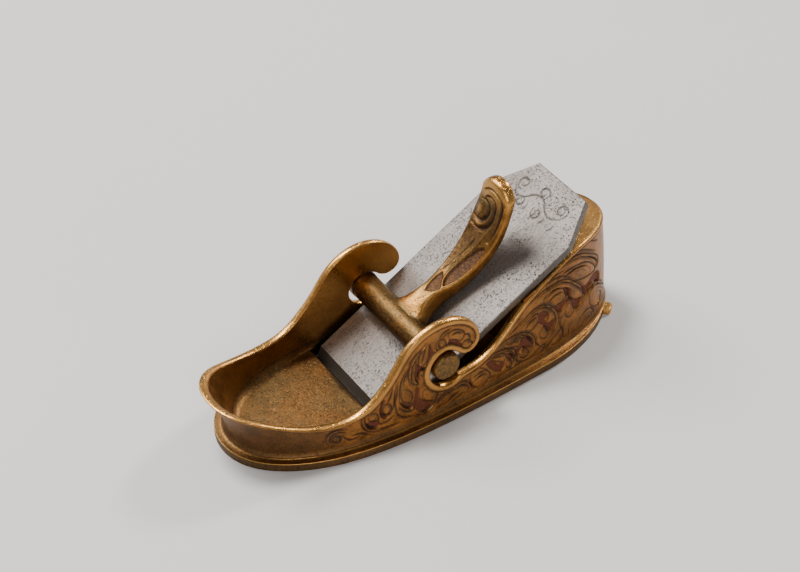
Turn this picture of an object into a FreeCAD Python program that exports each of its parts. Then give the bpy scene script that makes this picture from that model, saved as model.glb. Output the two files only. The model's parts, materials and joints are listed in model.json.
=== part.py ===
import FreeCAD, Part
import math
import os

# Small cast-bronze slipper plane: one open casting, a steel cutter and a lever cap.
# Axes: X runs from toe (-X) to heel (+X), the plane is symmetric about Y = 0, +Z is up.
# The sole is Z = 0 and the origin is under the middle of the overall length.

os.makedirs("parts", exist_ok=True)
doc = FreeCAD.newDocument("slipper_plane")
V = FreeCAD.Vector

# ---------------------------------------------------------------- driving dimensions
sheet = doc.addObject("Spreadsheet::Sheet", "dimensions")
DIMENSIONS = {
    "mouth_from_origin": 11.9,     # cutter's visible front edge is this far towards the toe
    "flange_thickness": 1.6,
    "floor_height": 1.9,
    "wall_top_plane": 21.0,
    "mouth_half_width": 12.0,
    "bed_half_width": 12.3,
    "rib_half_width": 11.3,
    "spur_height": 1.1,
    "cutter_thickness": 1.5,
    "cutter_half_width": 11.0,
    "cutter_length": 48.9,
    "cutter_shoulder": 41.1,
    "cutter_end_half_width": 6.5,
    "cutter_edge_height": 2.2,
    "bed_angle": 30.4,
    "bar_radius": 2.6,
    "bar_half_length": 13.6,
    "bar_end_round": 0.7,
    "pivot_x": 9.6,
    "pivot_z": 10.9,
}
for row, (alias, value) in enumerate(DIMENSIONS.items(), start=1):
    sheet.set("A%d" % row, alias)
    sheet.set("B%d" % row, str(value))
    sheet.setAlias("B%d" % row, alias)
doc.recompute()
D = DIMENSIONS
MOUTH_X = -D["mouth_from_origin"]


# ---------------------------------------------------------------- small helpers
def new_body(label):
    body = doc.addObject("PartDesign::Body", label)
    body.Label = label
    return body


def origin_plane(body, role):
    return [f for f in body.Origin.OriginFeatures if f.Role == role][0]


def new_sketch(body, name, role, offset=None):
    sketch = body.newObject("Sketcher::SketchObject", name)
    sketch.AttachmentSupport = [(origin_plane(body, role), "")]
    sketch.MapMode = "FlatFace"
    if offset is not None:
        sketch.AttachmentOffset = offset
    return sketch


def add_polygon(sketch, points):
    for (x1, y1), (x2, y2) in zip(points, points[1:] + points[:1]):
        sketch.addGeometry(Part.LineSegment(V(x1, y1, 0), V(x2, y2, 0)))


def add_spline(sketch, points):
    curve = Part.BSplineCurve()
    curve.interpolate([V(x, y, 0) for x, y in points])
    sketch.addGeometry(curve)


def at_height(z):
    return FreeCAD.Placement(V(0, 0, z), FreeCAD.Rotation())


def add_outline(sketch, control):
    """Closed plan outline: three cubic spans a side, from toe tip to heel tip on Y = 0."""
    for side in (-1, 1):
        poles = [V(MOUTH_X + x, side * w, 0) for x, w in control]
        for first in (0, 3, 6):
            curve = Part.BezierCurve()
            curve.setPoles(poles[first:first + 4])
            sketch.addGeometry(curve.toBSpline())


def from_mouth(points):
    return [(MOUTH_X + x, z) for x, z in points]


def pad(body, name, sketch, length, midplane=False, reversed_side=False):
    feature = body.newObject("PartDesign::Pad", name)
    feature.Profile = sketch
    feature.Midplane = midplane
    feature.Reversed = reversed_side
    if isinstance(length, str):
        feature.setExpression("Length", length)
    else:
        feature.Length = length
    return feature


def pocket_midplane(body, name, sketch, length):
    feature = body.newObject("PartDesign::Pocket", name)
    feature.Profile = sketch
    feature.Midplane = True
    if isinstance(length, str):
        feature.setExpression("Length", length)
    else:
        feature.Length = length
    return feature


def loft(body, kind, name, sketches):
    feature = body.newObject("PartDesign::" + kind, name)
    feature.Profile = sketches[0]
    feature.Sections = sketches[1:]
    return feature


# ---------------------------------------------------------------- body casting
# Plan outlines are control points (distance behind the cutter's front edge, half width).
# Sole flange plan: slipper shape, round toe and narrowing round stern.
FLANGE = [(-25.8, 0), (-25.8, 8.15), (-16.57, 12.44), (-10.0, 13.88), (1.63, 16.43),
          (18.67, 14.65), (30.0, 13.88), (43.44, 12.96), (51.8, 4.98), (51.8, 0)]
# Outer face of the wall at four heights. It leans in a little all round, also at the
# stern, and it is waisted at the toe and then flares forward like the rim of a spoon.
OUTER = [
    (1.0, [(-24.3, 0), (-24.3, 7.74), (-15.0, 11.01), (-10.0, 12.16), (1.42, 14.8),
           (18.7, 13.27), (30.0, 12.13), (43.5, 10.8), (51.2, 6.5), (51.2, 0)]),
    (5.0, [(-24.5, 0), (-24.5, 7.9), (-15.36, 11.31), (-10.0, 12.2), (1.52, 14.11),
           (18.57, 13.29), (30.0, 11.9), (43.2, 10.5), (50.9, 6.4), (50.9, 0)]),
    (11.0, [(-27.3, 0), (-27.3, 9.55), (-16.63, 11.73), (-10.0, 12.24), (2.28, 13.19),
            (17.87, 13.33), (30.0, 11.45), (43.0, 10.2), (50.5, 6.2), (50.5, 0)]),
    (21.0, [(-30.0, 0), (-30.0, 11.23), (-17.16, 12.14), (-10.0, 12.28), (1.87, 12.5),
            (18.38, 12.89), (30.0, 10.92), (42.0, 9.7), (49.4, 5.4), (49.4, 0)]),
]
# Inner face: the toe is thin, the sides 1.4 mm and the stern's top thickens to a ledge.
INNER = [
    (D["floor_height"], [(-22.7, 0), (-22.7, 7.32), (-13.0, 10.03), (-10.0, 10.66),
                         (2.28, 13.24), (17.17, 11.98), (30.0, 10.53), (40.0, 9.4),
                         (47.9, 4.21), (47.9, 0)]),
    (5.0, [(-23.1, 0), (-23.1, 8.14), (-14.15, 10.06), (-10.0, 10.76), (2.25, 12.84),
           (17.13, 12.04), (30.0, 10.31), (39.97, 8.97), (47.4, 4.12), (47.4, 0)]),
    (11.0, [(-26.1, 0), (-26.1, 8.99), (-15.82, 10.7), (-10.0, 11.1), (1.76, 11.91),
            (17.78, 12.04), (30.0, 9.93), (39.19, 8.35), (46.5, 4.23), (46.5, 0)]),
    (22.0, [(-29.1, 0), (-29.1, 10.81), (-16.54, 11.28), (-10.0, 11.23), (2.58, 11.4),
            (16.93, 12.2), (30.0, 9.08), (37.29, 7.31), (45.1, 3.98), (45.1, 0)]),
]
# Upper edge of both walls seen from the side: toe rim, sweep up to the scroll, its
# rounded end and the lip over the notch.
RIM_TO_LIP = [(-36.0, 15.0), (-31.5, 13.7), (-28.0, 12.3), (-24.8, 11.4), (-20.6, 9.75), (-15.4, 8.0),
              (-10.4, 7.3), (-6.3, 8.1), (-3.4, 10.3), (-1.0, 13.0), (1.2, 16.2),
              (3.7, 18.6), (6.6, 19.9), (9.4, 20.15), (12.4, 19.4), (14.9, 17.7),
              (16.4, 15.4), (16.5, 13.1), (15.0, 11.7), (13.3, 11.75)]
NOTCH_CENTRE = (10.1, 10.3)
NOTCH_RADIUS = 3.5
# Rear edge: out of the notch, up beside the cutter and level round the stern.
REAR_EDGE = [(12.7, 7.2), (16.6, 8.3), (20.4, 10.3), (23.6, 13.0), (26.6, 15.4), (29.8, 17.2),
             (33.4, 18.9), (37.0, 20.0), (41.0, 20.3), (45.2, 19.9), (50.0, 19.6),
             (56.0, 19.6)]

body_casting = new_body("body_casting")

flange_outline = new_sketch(body_casting, "flange_outline", "XY_Plane")
add_outline(flange_outline, FLANGE)
pad(body_casting, "flange", flange_outline, "dimensions.flange_thickness")

outer_sections = []
for number, (height, stations) in enumerate(OUTER):
    section = new_sketch(body_casting, "outer_%d" % number, "XY_Plane", at_height(height))
    add_outline(section, stations)
    outer_sections.append(section)
loft(body_casting, "AdditiveLoft", "outer_wall", outer_sections)

inner_sections = []
for number, (height, stations) in enumerate(INNER):
    section = new_sketch(body_casting, "inner_%d" % number, "XY_Plane", at_height(height))
    add_outline(section, stations)
    inner_sections.append(section)
loft(body_casting, "SubtractiveLoft", "hollow", inner_sections)

# Everything above the upper edge is removed, together with the notch and its slot.
edge_sketch = new_sketch(body_casting, "upper_edge", "XZ_Plane")
lip_tip, rear_start = RIM_TO_LIP[-1], REAR_EDGE[0]


def on_notch(point):
    """The point moved radially onto the notch circle."""
    dx, dz = point[0] - NOTCH_CENTRE[0], point[1] - NOTCH_CENTRE[1]
    scale = NOTCH_RADIUS / math.hypot(dx, dz)
    return (NOTCH_CENTRE[0] + dx * scale, NOTCH_CENTRE[1] + dz * scale)


notch_in, notch_out = on_notch(lip_tip), on_notch(rear_start)
add_spline(edge_sketch, from_mouth(RIM_TO_LIP[:-1] + [notch_in]))
far_side = (NOTCH_CENTRE[0] - NOTCH_RADIUS, NOTCH_CENTRE[1])
arc_points = [V(x, z, 0) for x, z in from_mouth([notch_in, far_side, notch_out])]
edge_sketch.addGeometry(Part.Arc(*arc_points))
add_spline(edge_sketch, from_mouth([notch_out] + REAR_EDGE[1:]))
TOP = 40.0
corners = from_mouth([REAR_EDGE[-1], (REAR_EDGE[-1][0], TOP), (RIM_TO_LIP[0][0], TOP),
                      RIM_TO_LIP[0]])
for (x1, z1), (x2, z2) in zip(corners, corners[1:]):
    edge_sketch.addGeometry(Part.LineSegment(V(x1, z1, 0), V(x2, z2, 0)))
pocket_midplane(body_casting, "trim_upper_edge", edge_sketch, 60.0)

# Bed: a wedge right behind the mouth and a cross rib further back carry the cutter.
slope = math.tan(math.radians(D["bed_angle"]))
under = D["cutter_edge_height"] - (D["cutter_thickness"] + 0.12) / math.cos(
    math.radians(D["bed_angle"]))


def bed_z(x):
    return under + slope * x


bed_profile = new_sketch(body_casting, "bed_profile", "XZ_Plane")
add_polygon(bed_profile, from_mouth([(1.0, 0.6), (8.6, 0.6), (8.6, bed_z(8.6)),
                                     (1.0, bed_z(1.0))]))
pad(body_casting, "mouth_bed", bed_profile, "2 * dimensions.bed_half_width", midplane=True)
rib_profile = new_sketch(body_casting, "rib_profile", "XZ_Plane")
add_polygon(rib_profile, from_mouth([(26.4, 1.0), (28.6, 1.0), (28.6, bed_z(28.6)),
                                     (26.4, bed_z(26.4))]))
pad(body_casting, "bed_rib", rib_profile, "2 * dimensions.rib_half_width", midplane=True)

# Mouth: a slot right through the sole, its front wall sloping forward and up.
mouth_profile = new_sketch(body_casting, "mouth_profile", "XZ_Plane")
bed_foot = -bed_z(0) / slope
add_polygon(mouth_profile, from_mouth([(-1.35, -1.0), (-1.35, 0.0), (-2.0, D["floor_height"]),
                                       (-2.0, bed_z(3.0)), (3.0, bed_z(3.0)), (bed_foot, 0.0),
                                       (bed_foot, -1.0)]))
pocket_midplane(body_casting, "mouth", mouth_profile, "2 * dimensions.mouth_half_width")

# Small cast spur low on the stern's near quarter.
spur_sketch = new_sketch(body_casting, "spur_outline", "XY_Plane")
add_polygon(spur_sketch, from_mouth([(46.3, -6.2), (48.2, -8.2), (49.9, -6.9), (48.4, -4.6)]))
pad(body_casting, "spur", spur_sketch, "dimensions.spur_height")

# ---------------------------------------------------------------- cutter
cutter = new_body("cutter")
length, shoulder = D["cutter_length"], D["cutter_shoulder"]
half, end_half = D["cutter_half_width"], D["cutter_end_half_width"]
plan = new_sketch(cutter, "cutter_plan", "XY_Plane")
add_polygon(plan, [(-1.6, -half), (shoulder, -half), (length, -end_half), (length, end_half),
                   (shoulder, half), (-1.6, half)])
pad(cutter, "blank", plan, "dimensions.cutter_thickness", reversed_side=True)

# The bevel is on top and ends at the sole, so its angle follows from the edge height.
thickness = D["cutter_thickness"]
rise = math.radians(D["bed_angle"])
edge_along = (thickness * math.cos(rise) - D["cutter_edge_height"] + 0.02) / math.sin(rise)
bevel = new_sketch(cutter, "bevel_profile", "XZ_Plane")
add_polygon(bevel, [(0.0, 0.0), (0.0, 1.0), (-3.0, 1.0), (-3.0, -2.5), (edge_along, -2.5),
                    (edge_along, -thickness)])
pocket_midplane(cutter, "bevel", bevel, 40.0)
cutter.Placement = FreeCAD.Placement(
    V(MOUTH_X, 0, D["cutter_edge_height"]),
    FreeCAD.Rotation(V(0, 1, 0), -D["bed_angle"]))

# ---------------------------------------------------------------- lever cap
lever_cap = new_body("lever_cap")
bar_section = new_sketch(lever_cap, "bar_section", "XZ_Plane")
bar_section.addGeometry(Part.Circle(V(0, 0, 0), V(0, 0, 1), D["bar_radius"]))
bar_pad = pad(lever_cap, "crossbar", bar_section, "2 * dimensions.bar_half_length", midplane=True)
doc.recompute()
bar_ends = ["Edge%d" % (i + 1) for i, e in enumerate(bar_pad.Shape.Edges)
            if e.Closed and abs(abs(e.CenterOfMass.y) - D["bar_half_length"]) < 1e-3]
end_round = lever_cap.newObject("PartDesign::Fillet", "bar_end_round")
end_round.Base = (bar_pad, bar_ends)
end_round.setExpression("Radius", "dimensions.bar_end_round")

# Arm stations from the crossbar to the paddle's tip, measured from the pivot:
# x and z of the middle, tangent angle, half width and thickness.
ARM = [(1.0, 0.9, 30.0, 5.2, 3.4), (3.2, 1.95, 31.0, 3.0, 4.0), (5.95, 3.25, 29.0, 1.95, 4.2),
       (8.3, 4.35, 33.0, 2.3, 3.6), (11.45, 6.25, 42.0, 2.95, 3.0), (14.0, 8.6, 49.0, 3.4, 2.7),
       (16.3, 11.7, 59.0, 3.8, 2.4), (17.95, 15.2, 71.0, 3.9, 2.2), (18.8, 18.7, 82.0, 3.5, 2.0),
       (18.95, 21.0, 87.0, 2.2, 1.7), (19.0, 22.1, 88.0, 0.9, 1.2)]
arm_sections = []
for number, (x, z, tilt, half_width, thick) in enumerate(ARM):
    offset = FreeCAD.Placement(V(0, z, x), FreeCAD.Rotation(V(1, 0, 0), -tilt))
    section = new_sketch(lever_cap, "arm_%d" % number, "YZ_Plane", offset)
    add_polygon(section, [(-half_width, -thick / 2), (half_width, -thick / 2),
                          (half_width, thick / 2), (-half_width, thick / 2)])
    arm_sections.append(section)
loft(lever_cap, "AdditiveLoft", "arm", arm_sections)
lever_cap.Placement = FreeCAD.Placement(
    V(MOUTH_X + D["pivot_x"], 0, D["pivot_z"]), FreeCAD.Rotation())

# ---------------------------------------------------------------- checks and export
doc.recompute()
for obj in doc.Objects:
    if "Invalid" in obj.State or "Error" in obj.State:
        raise RuntimeError("feature %s is in state %s" % (obj.Name, obj.State))
for node in (body_casting, cutter, lever_cap):
    if node.Shape.isNull() or not node.Shape.isValid() or len(node.Shape.Solids) != 1:
        raise RuntimeError("%s is not one valid solid" % node.Label)
    box = node.Shape.BoundBox
    print(node.Label, round(node.Shape.Volume, 1),
          [round(v, 2) for v in (box.XMin, box.XMax, box.YMin, box.YMax, box.ZMin, box.ZMax)])
    node.Shape.exportStep("parts/%s.step" % node.Label)
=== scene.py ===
import json
import math

import bmesh
import bpy
import numpy as np
from mathutils import Matrix, Vector
from mathutils.geometry import delaunay_2d_cdt
from mathutils.kdtree import KDTree


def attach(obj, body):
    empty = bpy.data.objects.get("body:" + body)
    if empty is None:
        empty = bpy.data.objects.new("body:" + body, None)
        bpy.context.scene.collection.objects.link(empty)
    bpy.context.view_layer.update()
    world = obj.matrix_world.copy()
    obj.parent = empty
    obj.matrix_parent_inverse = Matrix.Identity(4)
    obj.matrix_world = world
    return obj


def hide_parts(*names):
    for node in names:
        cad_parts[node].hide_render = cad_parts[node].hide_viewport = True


# Small cast-bronze slipper plane. Shapes are drawn in millimetres: x runs back from the
# cutter's visible front edge, y is across, z is above the sole. MOUTH_X moves x to the
# frame's origin, and every mesh is made in metres.

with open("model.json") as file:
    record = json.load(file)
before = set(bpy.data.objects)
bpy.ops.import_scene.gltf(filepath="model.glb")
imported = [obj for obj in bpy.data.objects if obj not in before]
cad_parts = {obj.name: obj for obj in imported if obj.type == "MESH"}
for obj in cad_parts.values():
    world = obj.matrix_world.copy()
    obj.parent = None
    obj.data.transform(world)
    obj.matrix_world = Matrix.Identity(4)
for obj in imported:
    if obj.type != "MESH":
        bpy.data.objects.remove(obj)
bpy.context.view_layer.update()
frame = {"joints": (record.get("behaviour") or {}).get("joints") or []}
MM = 0.001
MOUTH_X = -11.9

HINGE = [joint for joint in frame["joints"] if joint["name"] == "lever_cap_hinge"][0]
PIVOT_X, _, PIVOT_Z = np.array(HINGE["pos_m"]) / MM - np.array([MOUTH_X, 0.0, 0.0])


# ---------------------------------------------------------------- curves and meshes
def link(name, data):
    """A new object in the scene that holds this mesh, camera or light."""
    obj = bpy.data.objects.new(name, data)
    bpy.context.scene.collection.objects.link(obj)
    return obj


def smooth_curve(points, spacing):
    """Natural cubic spline through the points, resampled at an even spacing."""
    p = np.array(points, float)
    chord = np.concatenate([[0.0], np.cumsum(np.linalg.norm(np.diff(p, axis=0), axis=1))])
    n = len(p)
    h = np.diff(chord)
    a = np.zeros((n, n))
    b = np.zeros((n, p.shape[1]))
    a[0, 0] = a[-1, -1] = 1.0
    for i in range(1, n - 1):
        a[i, i - 1:i + 2] = h[i - 1], 2 * (h[i - 1] + h[i]), h[i]
        b[i] = 6 * ((p[i + 1] - p[i]) / h[i] - (p[i] - p[i - 1]) / h[i - 1])
    m = np.linalg.solve(a, b)
    s = np.linspace(0, chord[-1], max(8, int(chord[-1] / 0.03)))
    i = np.clip(np.searchsorted(chord, s, side="right") - 1, 0, n - 2)
    left, right, step = (s - chord[i])[:, None], (chord[i + 1] - s)[:, None], h[i][:, None]
    fine = ((m[i] * right ** 3 + m[i + 1] * left ** 3) / (6 * step)
            + (p[i] / step - m[i] * step / 6) * right
            + (p[i + 1] / step - m[i + 1] * step / 6) * left)
    return resample(fine, spacing)


def resample(line, spacing):
    """The same line with its points at an even spacing."""
    length = np.concatenate([[0.0], np.cumsum(np.linalg.norm(np.diff(line, axis=0), axis=1))])
    count = max(2, int(round(length[-1] / spacing)) + 1)
    at = np.linspace(0, length[-1], count)
    return np.stack([np.interp(at, length, line[:, k]) for k in range(line.shape[1])], 1)


def smoothstep(low, high, value):
    k = np.clip((value - low) / (high - low), 0.0, 1.0)
    return k * k * (3 - 2 * k)


def make_object(name, verts, faces, material, attributes):
    """A smooth mesh object from millimetre points, with float attributes per point."""
    mesh = bpy.data.meshes.new(name)
    points = np.array(verts, float)
    points[:, 0] += MOUTH_X
    mesh.from_pydata((points * MM).tolist(), [], [list(map(int, f)) for f in faces])
    mesh.validate()
    for key, values in attributes.items():
        layer = mesh.attributes.new(key, "FLOAT", "POINT")
        layer.data.foreach_set("value", np.asarray(values, np.float32))
    mesh.polygons.foreach_set("use_smooth", [True] * len(mesh.polygons))
    mesh.materials.append(material)
    return link(name, mesh)


def strip(lower, upper, closed=False):
    """Quads between two rows of point numbers of equal length."""
    n = len(lower) - (0 if closed else 1)
    m = len(lower)
    return [(lower[k], lower[(k + 1) % m], upper[(k + 1) % m], upper[k]) for k in range(n)]


def sheet(rows, closed=False, flip=False):
    """Quads between each row of point numbers and the next one."""
    quads = []
    for low, high in zip(rows, rows[1:]):
        quads += strip(high, low, closed) if flip else strip(low, high, closed)
    return quads


def tube(rings, start=0):
    """Faces of a closed tube through rings of equal size, with both ends capped."""
    size = len(rings[0])
    rows = [list(range(start + k * size, start + (k + 1) * size)) for k in range(len(rings))]
    return sheet(rows, closed=True) + [tuple(rows[0][::-1]), tuple(rows[-1])]


def points_inside(polygon, points):
    """Even-odd test of many points against a closed polygon."""
    inside = np.zeros(len(points), bool)
    x, y = points[:, 0], points[:, 1]
    for (x1, y1), (x2, y2) in zip(polygon, np.roll(polygon, -1, axis=0)):
        if y1 == y2:
            continue
        hit = ((y1 > y) != (y2 > y)) & (x < (x2 - x1) * (y - y1) / (y2 - y1) + x1)
        inside ^= hit
    return inside


def distance_to(line, points):
    """Distance from many points to a polyline: nearest corner, then its two segments."""
    tree = KDTree(len(line))
    for k, p in enumerate(line):
        tree.insert((p[0], p[1], 0.0), k)
    tree.balance()
    nearest = np.array([tree.find((p[0], p[1], 0.0))[1] for p in points])
    best = np.full(len(points), 1e9)
    for k in (np.maximum(nearest - 1, 0), np.minimum(nearest, len(line) - 2)):
        a, ab = line[k], line[k + 1] - line[k]
        size = np.maximum((ab ** 2).sum(axis=1), 1e-12)
        t = np.clip(((points - a) * ab).sum(axis=1) / size, 0, 1)
        best = np.minimum(best, np.hypot(*(points - a - t[:, None] * ab).T))
    return best


def triangulate(boundary, interior):
    """Triangles of the region inside a closed boundary, and each boundary point's number."""
    size = len(boundary)
    verts = [Vector(p) for p in boundary] + [Vector(p) for p in interior]
    edges = [(k, (k + 1) % size) for k in range(size)]
    new_verts, _, faces, origins, _, _ = delaunay_2d_cdt(verts, edges, [], 0, 1e-6)
    flat = np.array([v[:] for v in new_verts])
    tri = np.array([f for f in faces if len(f) == 3])
    tri = tri[points_inside(boundary, flat[tri].mean(axis=1))]
    number = np.zeros(size, int)
    for new, old in enumerate(origins):
        for k in old:
            if k < size:
                number[k] = new
                flat[new] = boundary[k]
    return flat, tri, number


def well_inside(loop, grid, gap):
    """The grid's points that are inside a loop and further than gap from it."""
    grid = grid[points_inside(loop, grid)]
    return grid[distance_to(np.concatenate([loop, loop[:1]]), grid) > gap]


def hex_grid(low, high, step):
    """Points in staggered rows over a rectangle."""
    rows = np.arange(low[1], high[1], step * 0.866)
    points = []
    for k, y in enumerate(rows):
        x = np.arange(low[0] + (step / 2 if k % 2 else 0), high[0], step)
        points.append(np.stack([x, np.full(len(x), y)], 1))
    return np.concatenate(points)


# ---------------------------------------------------------------- the casting's walls
# Plan outlines: control points of three cubic spans from toe tip to heel tip, as
# (x, half width), at a few heights.
FLANGE = np.array([(-25.8, 0), (-25.8, 8.15), (-16.57, 12.44), (-10.0, 13.88), (1.63, 16.43),
                   (18.67, 14.65), (30.0, 13.88), (43.44, 12.96), (51.8, 4.98), (51.8, 0)])
OUTER = [
    (1.0, [(-24.3, 0), (-24.3, 7.74), (-15.0, 11.01), (-10.0, 12.16), (1.42, 14.8),
           (18.7, 13.27), (30.0, 12.13), (43.5, 10.8), (51.2, 6.5), (51.2, 0)]),
    (5.0, [(-24.5, 0), (-24.5, 7.9), (-15.36, 11.31), (-10.0, 12.2), (1.52, 14.11),
           (18.57, 13.29), (30.0, 11.9), (43.2, 10.5), (50.9, 6.4), (50.9, 0)]),
    (11.0, [(-27.3, 0), (-27.3, 9.55), (-16.63, 11.73), (-10.0, 12.24), (2.28, 13.19),
            (17.87, 13.33), (30.0, 11.45), (43.0, 10.2), (50.5, 6.2), (50.5, 0)]),
    (21.0, [(-30.0, 0), (-30.0, 11.23), (-17.16, 12.14), (-10.0, 12.28), (1.87, 12.5),
            (18.38, 12.89), (30.0, 10.92), (42.0, 9.7), (49.4, 5.4), (49.4, 0)]),
]
INNER = [
    (1.9, [(-22.7, 0), (-22.7, 7.32), (-13.0, 10.03), (-10.0, 10.66), (2.28, 13.24),
           (17.17, 11.98), (30.0, 10.53), (40.0, 9.4), (47.9, 4.21), (47.9, 0)]),
    (5.0, [(-23.1, 0), (-23.1, 8.14), (-14.15, 10.06), (-10.0, 10.76), (2.25, 12.84),
           (17.13, 12.04), (30.0, 10.31), (39.97, 8.97), (47.4, 4.12), (47.4, 0)]),
    (11.0, [(-26.1, 0), (-26.1, 8.99), (-15.82, 10.7), (-10.0, 11.1), (1.76, 11.91),
            (17.78, 12.04), (30.0, 9.93), (39.19, 8.35), (46.5, 4.23), (46.5, 0)]),
    (22.0, [(-29.1, 0), (-29.1, 10.81), (-16.54, 11.28), (-10.0, 11.23), (2.58, 11.4),
            (16.93, 12.2), (30.0, 9.08), (37.29, 7.31), (45.1, 3.98), (45.1, 0)]),
]
# Upper edge of both walls seen from the side.
RIM_TO_LIP = [(-36.0, 15.0), (-31.5, 13.7), (-28.0, 12.3), (-24.8, 11.4), (-20.6, 9.75),
              (-15.4, 8.0), (-10.4, 7.3), (-6.3, 8.1), (-3.4, 10.3), (-1.0, 13.0), (1.2, 16.2),
              (3.7, 18.6), (6.6, 19.9), (9.4, 20.15), (12.4, 19.4), (14.9, 17.7), (16.4, 15.4),
              (16.5, 13.1), (15.2, 11.7), (13.6, 11.5), (12.3, 12.0)]
NOTCH_CENTRE = np.array([10.1, 10.3])
NOTCH_RADIUS = 3.5
LIP_CLOSES = 0.62                 # how much smaller the notch is under the scroll's lip
REAR_EDGE = [(12.7, 7.2), (16.6, 8.3), (20.4, 10.3), (23.6, 13.0), (26.6, 15.4), (29.8, 17.2),
             (33.4, 18.9), (37.0, 20.0), (41.0, 20.3), (45.2, 19.9), (50.0, 19.6), (56.0, 19.6)]
TOP_Z = 20.6                      # just above the highest point of the walls
EDGE_STEP = 0.05                  # spacing of the points along the upper edge
FLOOR_Z = 1.9
FLANGE_Z = 1.6
SLOT_HALF = 11.4
MOUTH_FRONT = -1.25
SLOT_TOP_X = -2.0                 # front of the mouth's slot at the floor
WEDGE_BACK = 8.6
RIB_FRONT, RIB_BACK, RIB_HALF = 26.4, 28.6, 11.3
BED_ANGLE = math.radians(30.4)
CUTTER_EDGE_Z = 2.2
CUTTER_THICK = 1.5
BED_GAP = 0.12


def spans(control, t):
    """Points of the three Bezier spans at t in 0..3; control is (10, 2) or (n, 10, 2)."""
    span = np.clip(np.floor(t).astype(int), 0, 2)
    u = (t - span)[:, None]
    if control.ndim == 2:
        p = [control[3 * span + k] for k in range(4)]
    else:
        row = np.arange(len(t))
        p = [control[row, 3 * span + k] for k in range(4)]
    return ((1 - u) ** 3 * p[0] + 3 * u * (1 - u) ** 2 * p[1]
            + 3 * u * u * (1 - u) * p[2] + u ** 3 * p[3])


class Wall:
    """A wall face lofted through plan outlines."""

    def __init__(self, sections):
        self.heights = np.array([z for z, _ in sections])
        self.control = np.array([c for _, c in sections], float)

    def point(self, t, z):
        t, z = np.broadcast_arrays(np.asarray(t, float), np.asarray(z, float))
        t, z = t.ravel(), z.ravel()
        weights = np.ones((len(z), len(self.heights)))
        for k, zk in enumerate(self.heights):
            for j, zj in enumerate(self.heights):
                if j != k:
                    weights[:, k] *= (z - zj) / (zk - zj)
        control = np.einsum("ns,spc->npc", weights, self.control)
        xy = spans(control, t)
        return np.column_stack([xy[:, 0], -xy[:, 1], z])

    def t_at(self, x, z):
        """The outline parameter where the wall has this x at height z."""
        grid = np.linspace(0, 3, 241)
        table = np.stack([self.point(np.full(len(z), g), z)[:, 0] for g in grid], 1)
        hit = np.clip((table < x[:, None]).sum(axis=1), 1, len(grid) - 1)
        row = np.arange(len(x))
        x0, x1 = table[row, hit - 1], table[row, hit]
        return grid[hit - 1] + np.clip((x - x0) / np.maximum(x1 - x0, 1e-6), 0, 1) * grid[1]

    def normal(self, t, z):
        """Unit normal pointing away from the middle of the casting."""
        step = 1e-3
        tt = np.clip(t, step, 3 - step)
        du = self.point(tt + step, z) - self.point(tt - step, z)
        dz = self.point(tt, z + step) - self.point(tt, z - step)
        n = np.cross(du, dz)
        n /= np.linalg.norm(n, axis=1)[:, None]
        edge = (t < 5e-3) | (t > 3 - 5e-3)
        n[edge, 1] = 0.0
        return n / np.linalg.norm(n, axis=1)[:, None]


outer, inner = Wall(OUTER), Wall(INNER)


def notch_points(turn):
    """Points of the notch at angles from its centre; it closes in under the scroll's lip."""
    radius = NOTCH_RADIUS - LIP_CLOSES * smoothstep(math.radians(100), math.radians(60), turn)
    return NOTCH_CENTRE + radius[:, None] * np.stack([np.cos(turn), np.sin(turn)], 1)


def upper_edge():
    """The side profile of the walls' upper edge from ahead of the toe to behind the heel."""
    a0 = math.atan2(*(np.array(RIM_TO_LIP[-1]) - NOTCH_CENTRE)[::-1])
    a1 = math.atan2(*(np.array(REAR_EDGE[0]) - NOTCH_CENTRE)[::-1]) + 2 * math.pi
    arc = notch_points(np.linspace(a0, a1, 300))
    notch_in, notch_out = arc[0], arc[-1]
    front = smooth_curve(RIM_TO_LIP[:-1] + [tuple(notch_in)], EDGE_STEP)
    rear = smooth_curve([tuple(notch_out)] + REAR_EDGE[1:], EDGE_STEP)
    line = resample(np.concatenate([front, arc[1:], rear[1:]]), EDGE_STEP)
    side = 7                      # points on each side that round off the joints
    kernel = np.hanning(2 * side + 1)
    kernel /= kernel.sum()
    padded = np.concatenate([line[:1].repeat(side, 0), line, line[-1:].repeat(side, 0)])
    return np.stack([np.convolve(padded[:, k], kernel, "valid") for k in range(2)], 1)


EDGE = upper_edge()
NEAR_TOE, NEAR_HEEL = 500, 400    # how many points from each end of EDGE x only rises over
EDGE_RISE = np.gradient(EDGE, axis=0)
EDGE_RISE /= np.linalg.norm(EDGE_RISE, axis=1)[:, None]
INTO = np.stack([EDGE_RISE[:, 1], -EDGE_RISE[:, 0]], 1)      # from the edge into the metal


def edge_ends(wall):
    """The first and the last point of EDGE between the wall's toe tip and heel tip."""
    tip_x = [wall.point(np.full(len(EDGE), tip), EDGE[:, 1])[:, 0] for tip in (0.0, 3.0)]
    return (np.nonzero(EDGE[:, 0] >= tip_x[0])[0][0], np.nonzero(EDGE[:, 0] <= tip_x[1])[0][-1])


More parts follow.
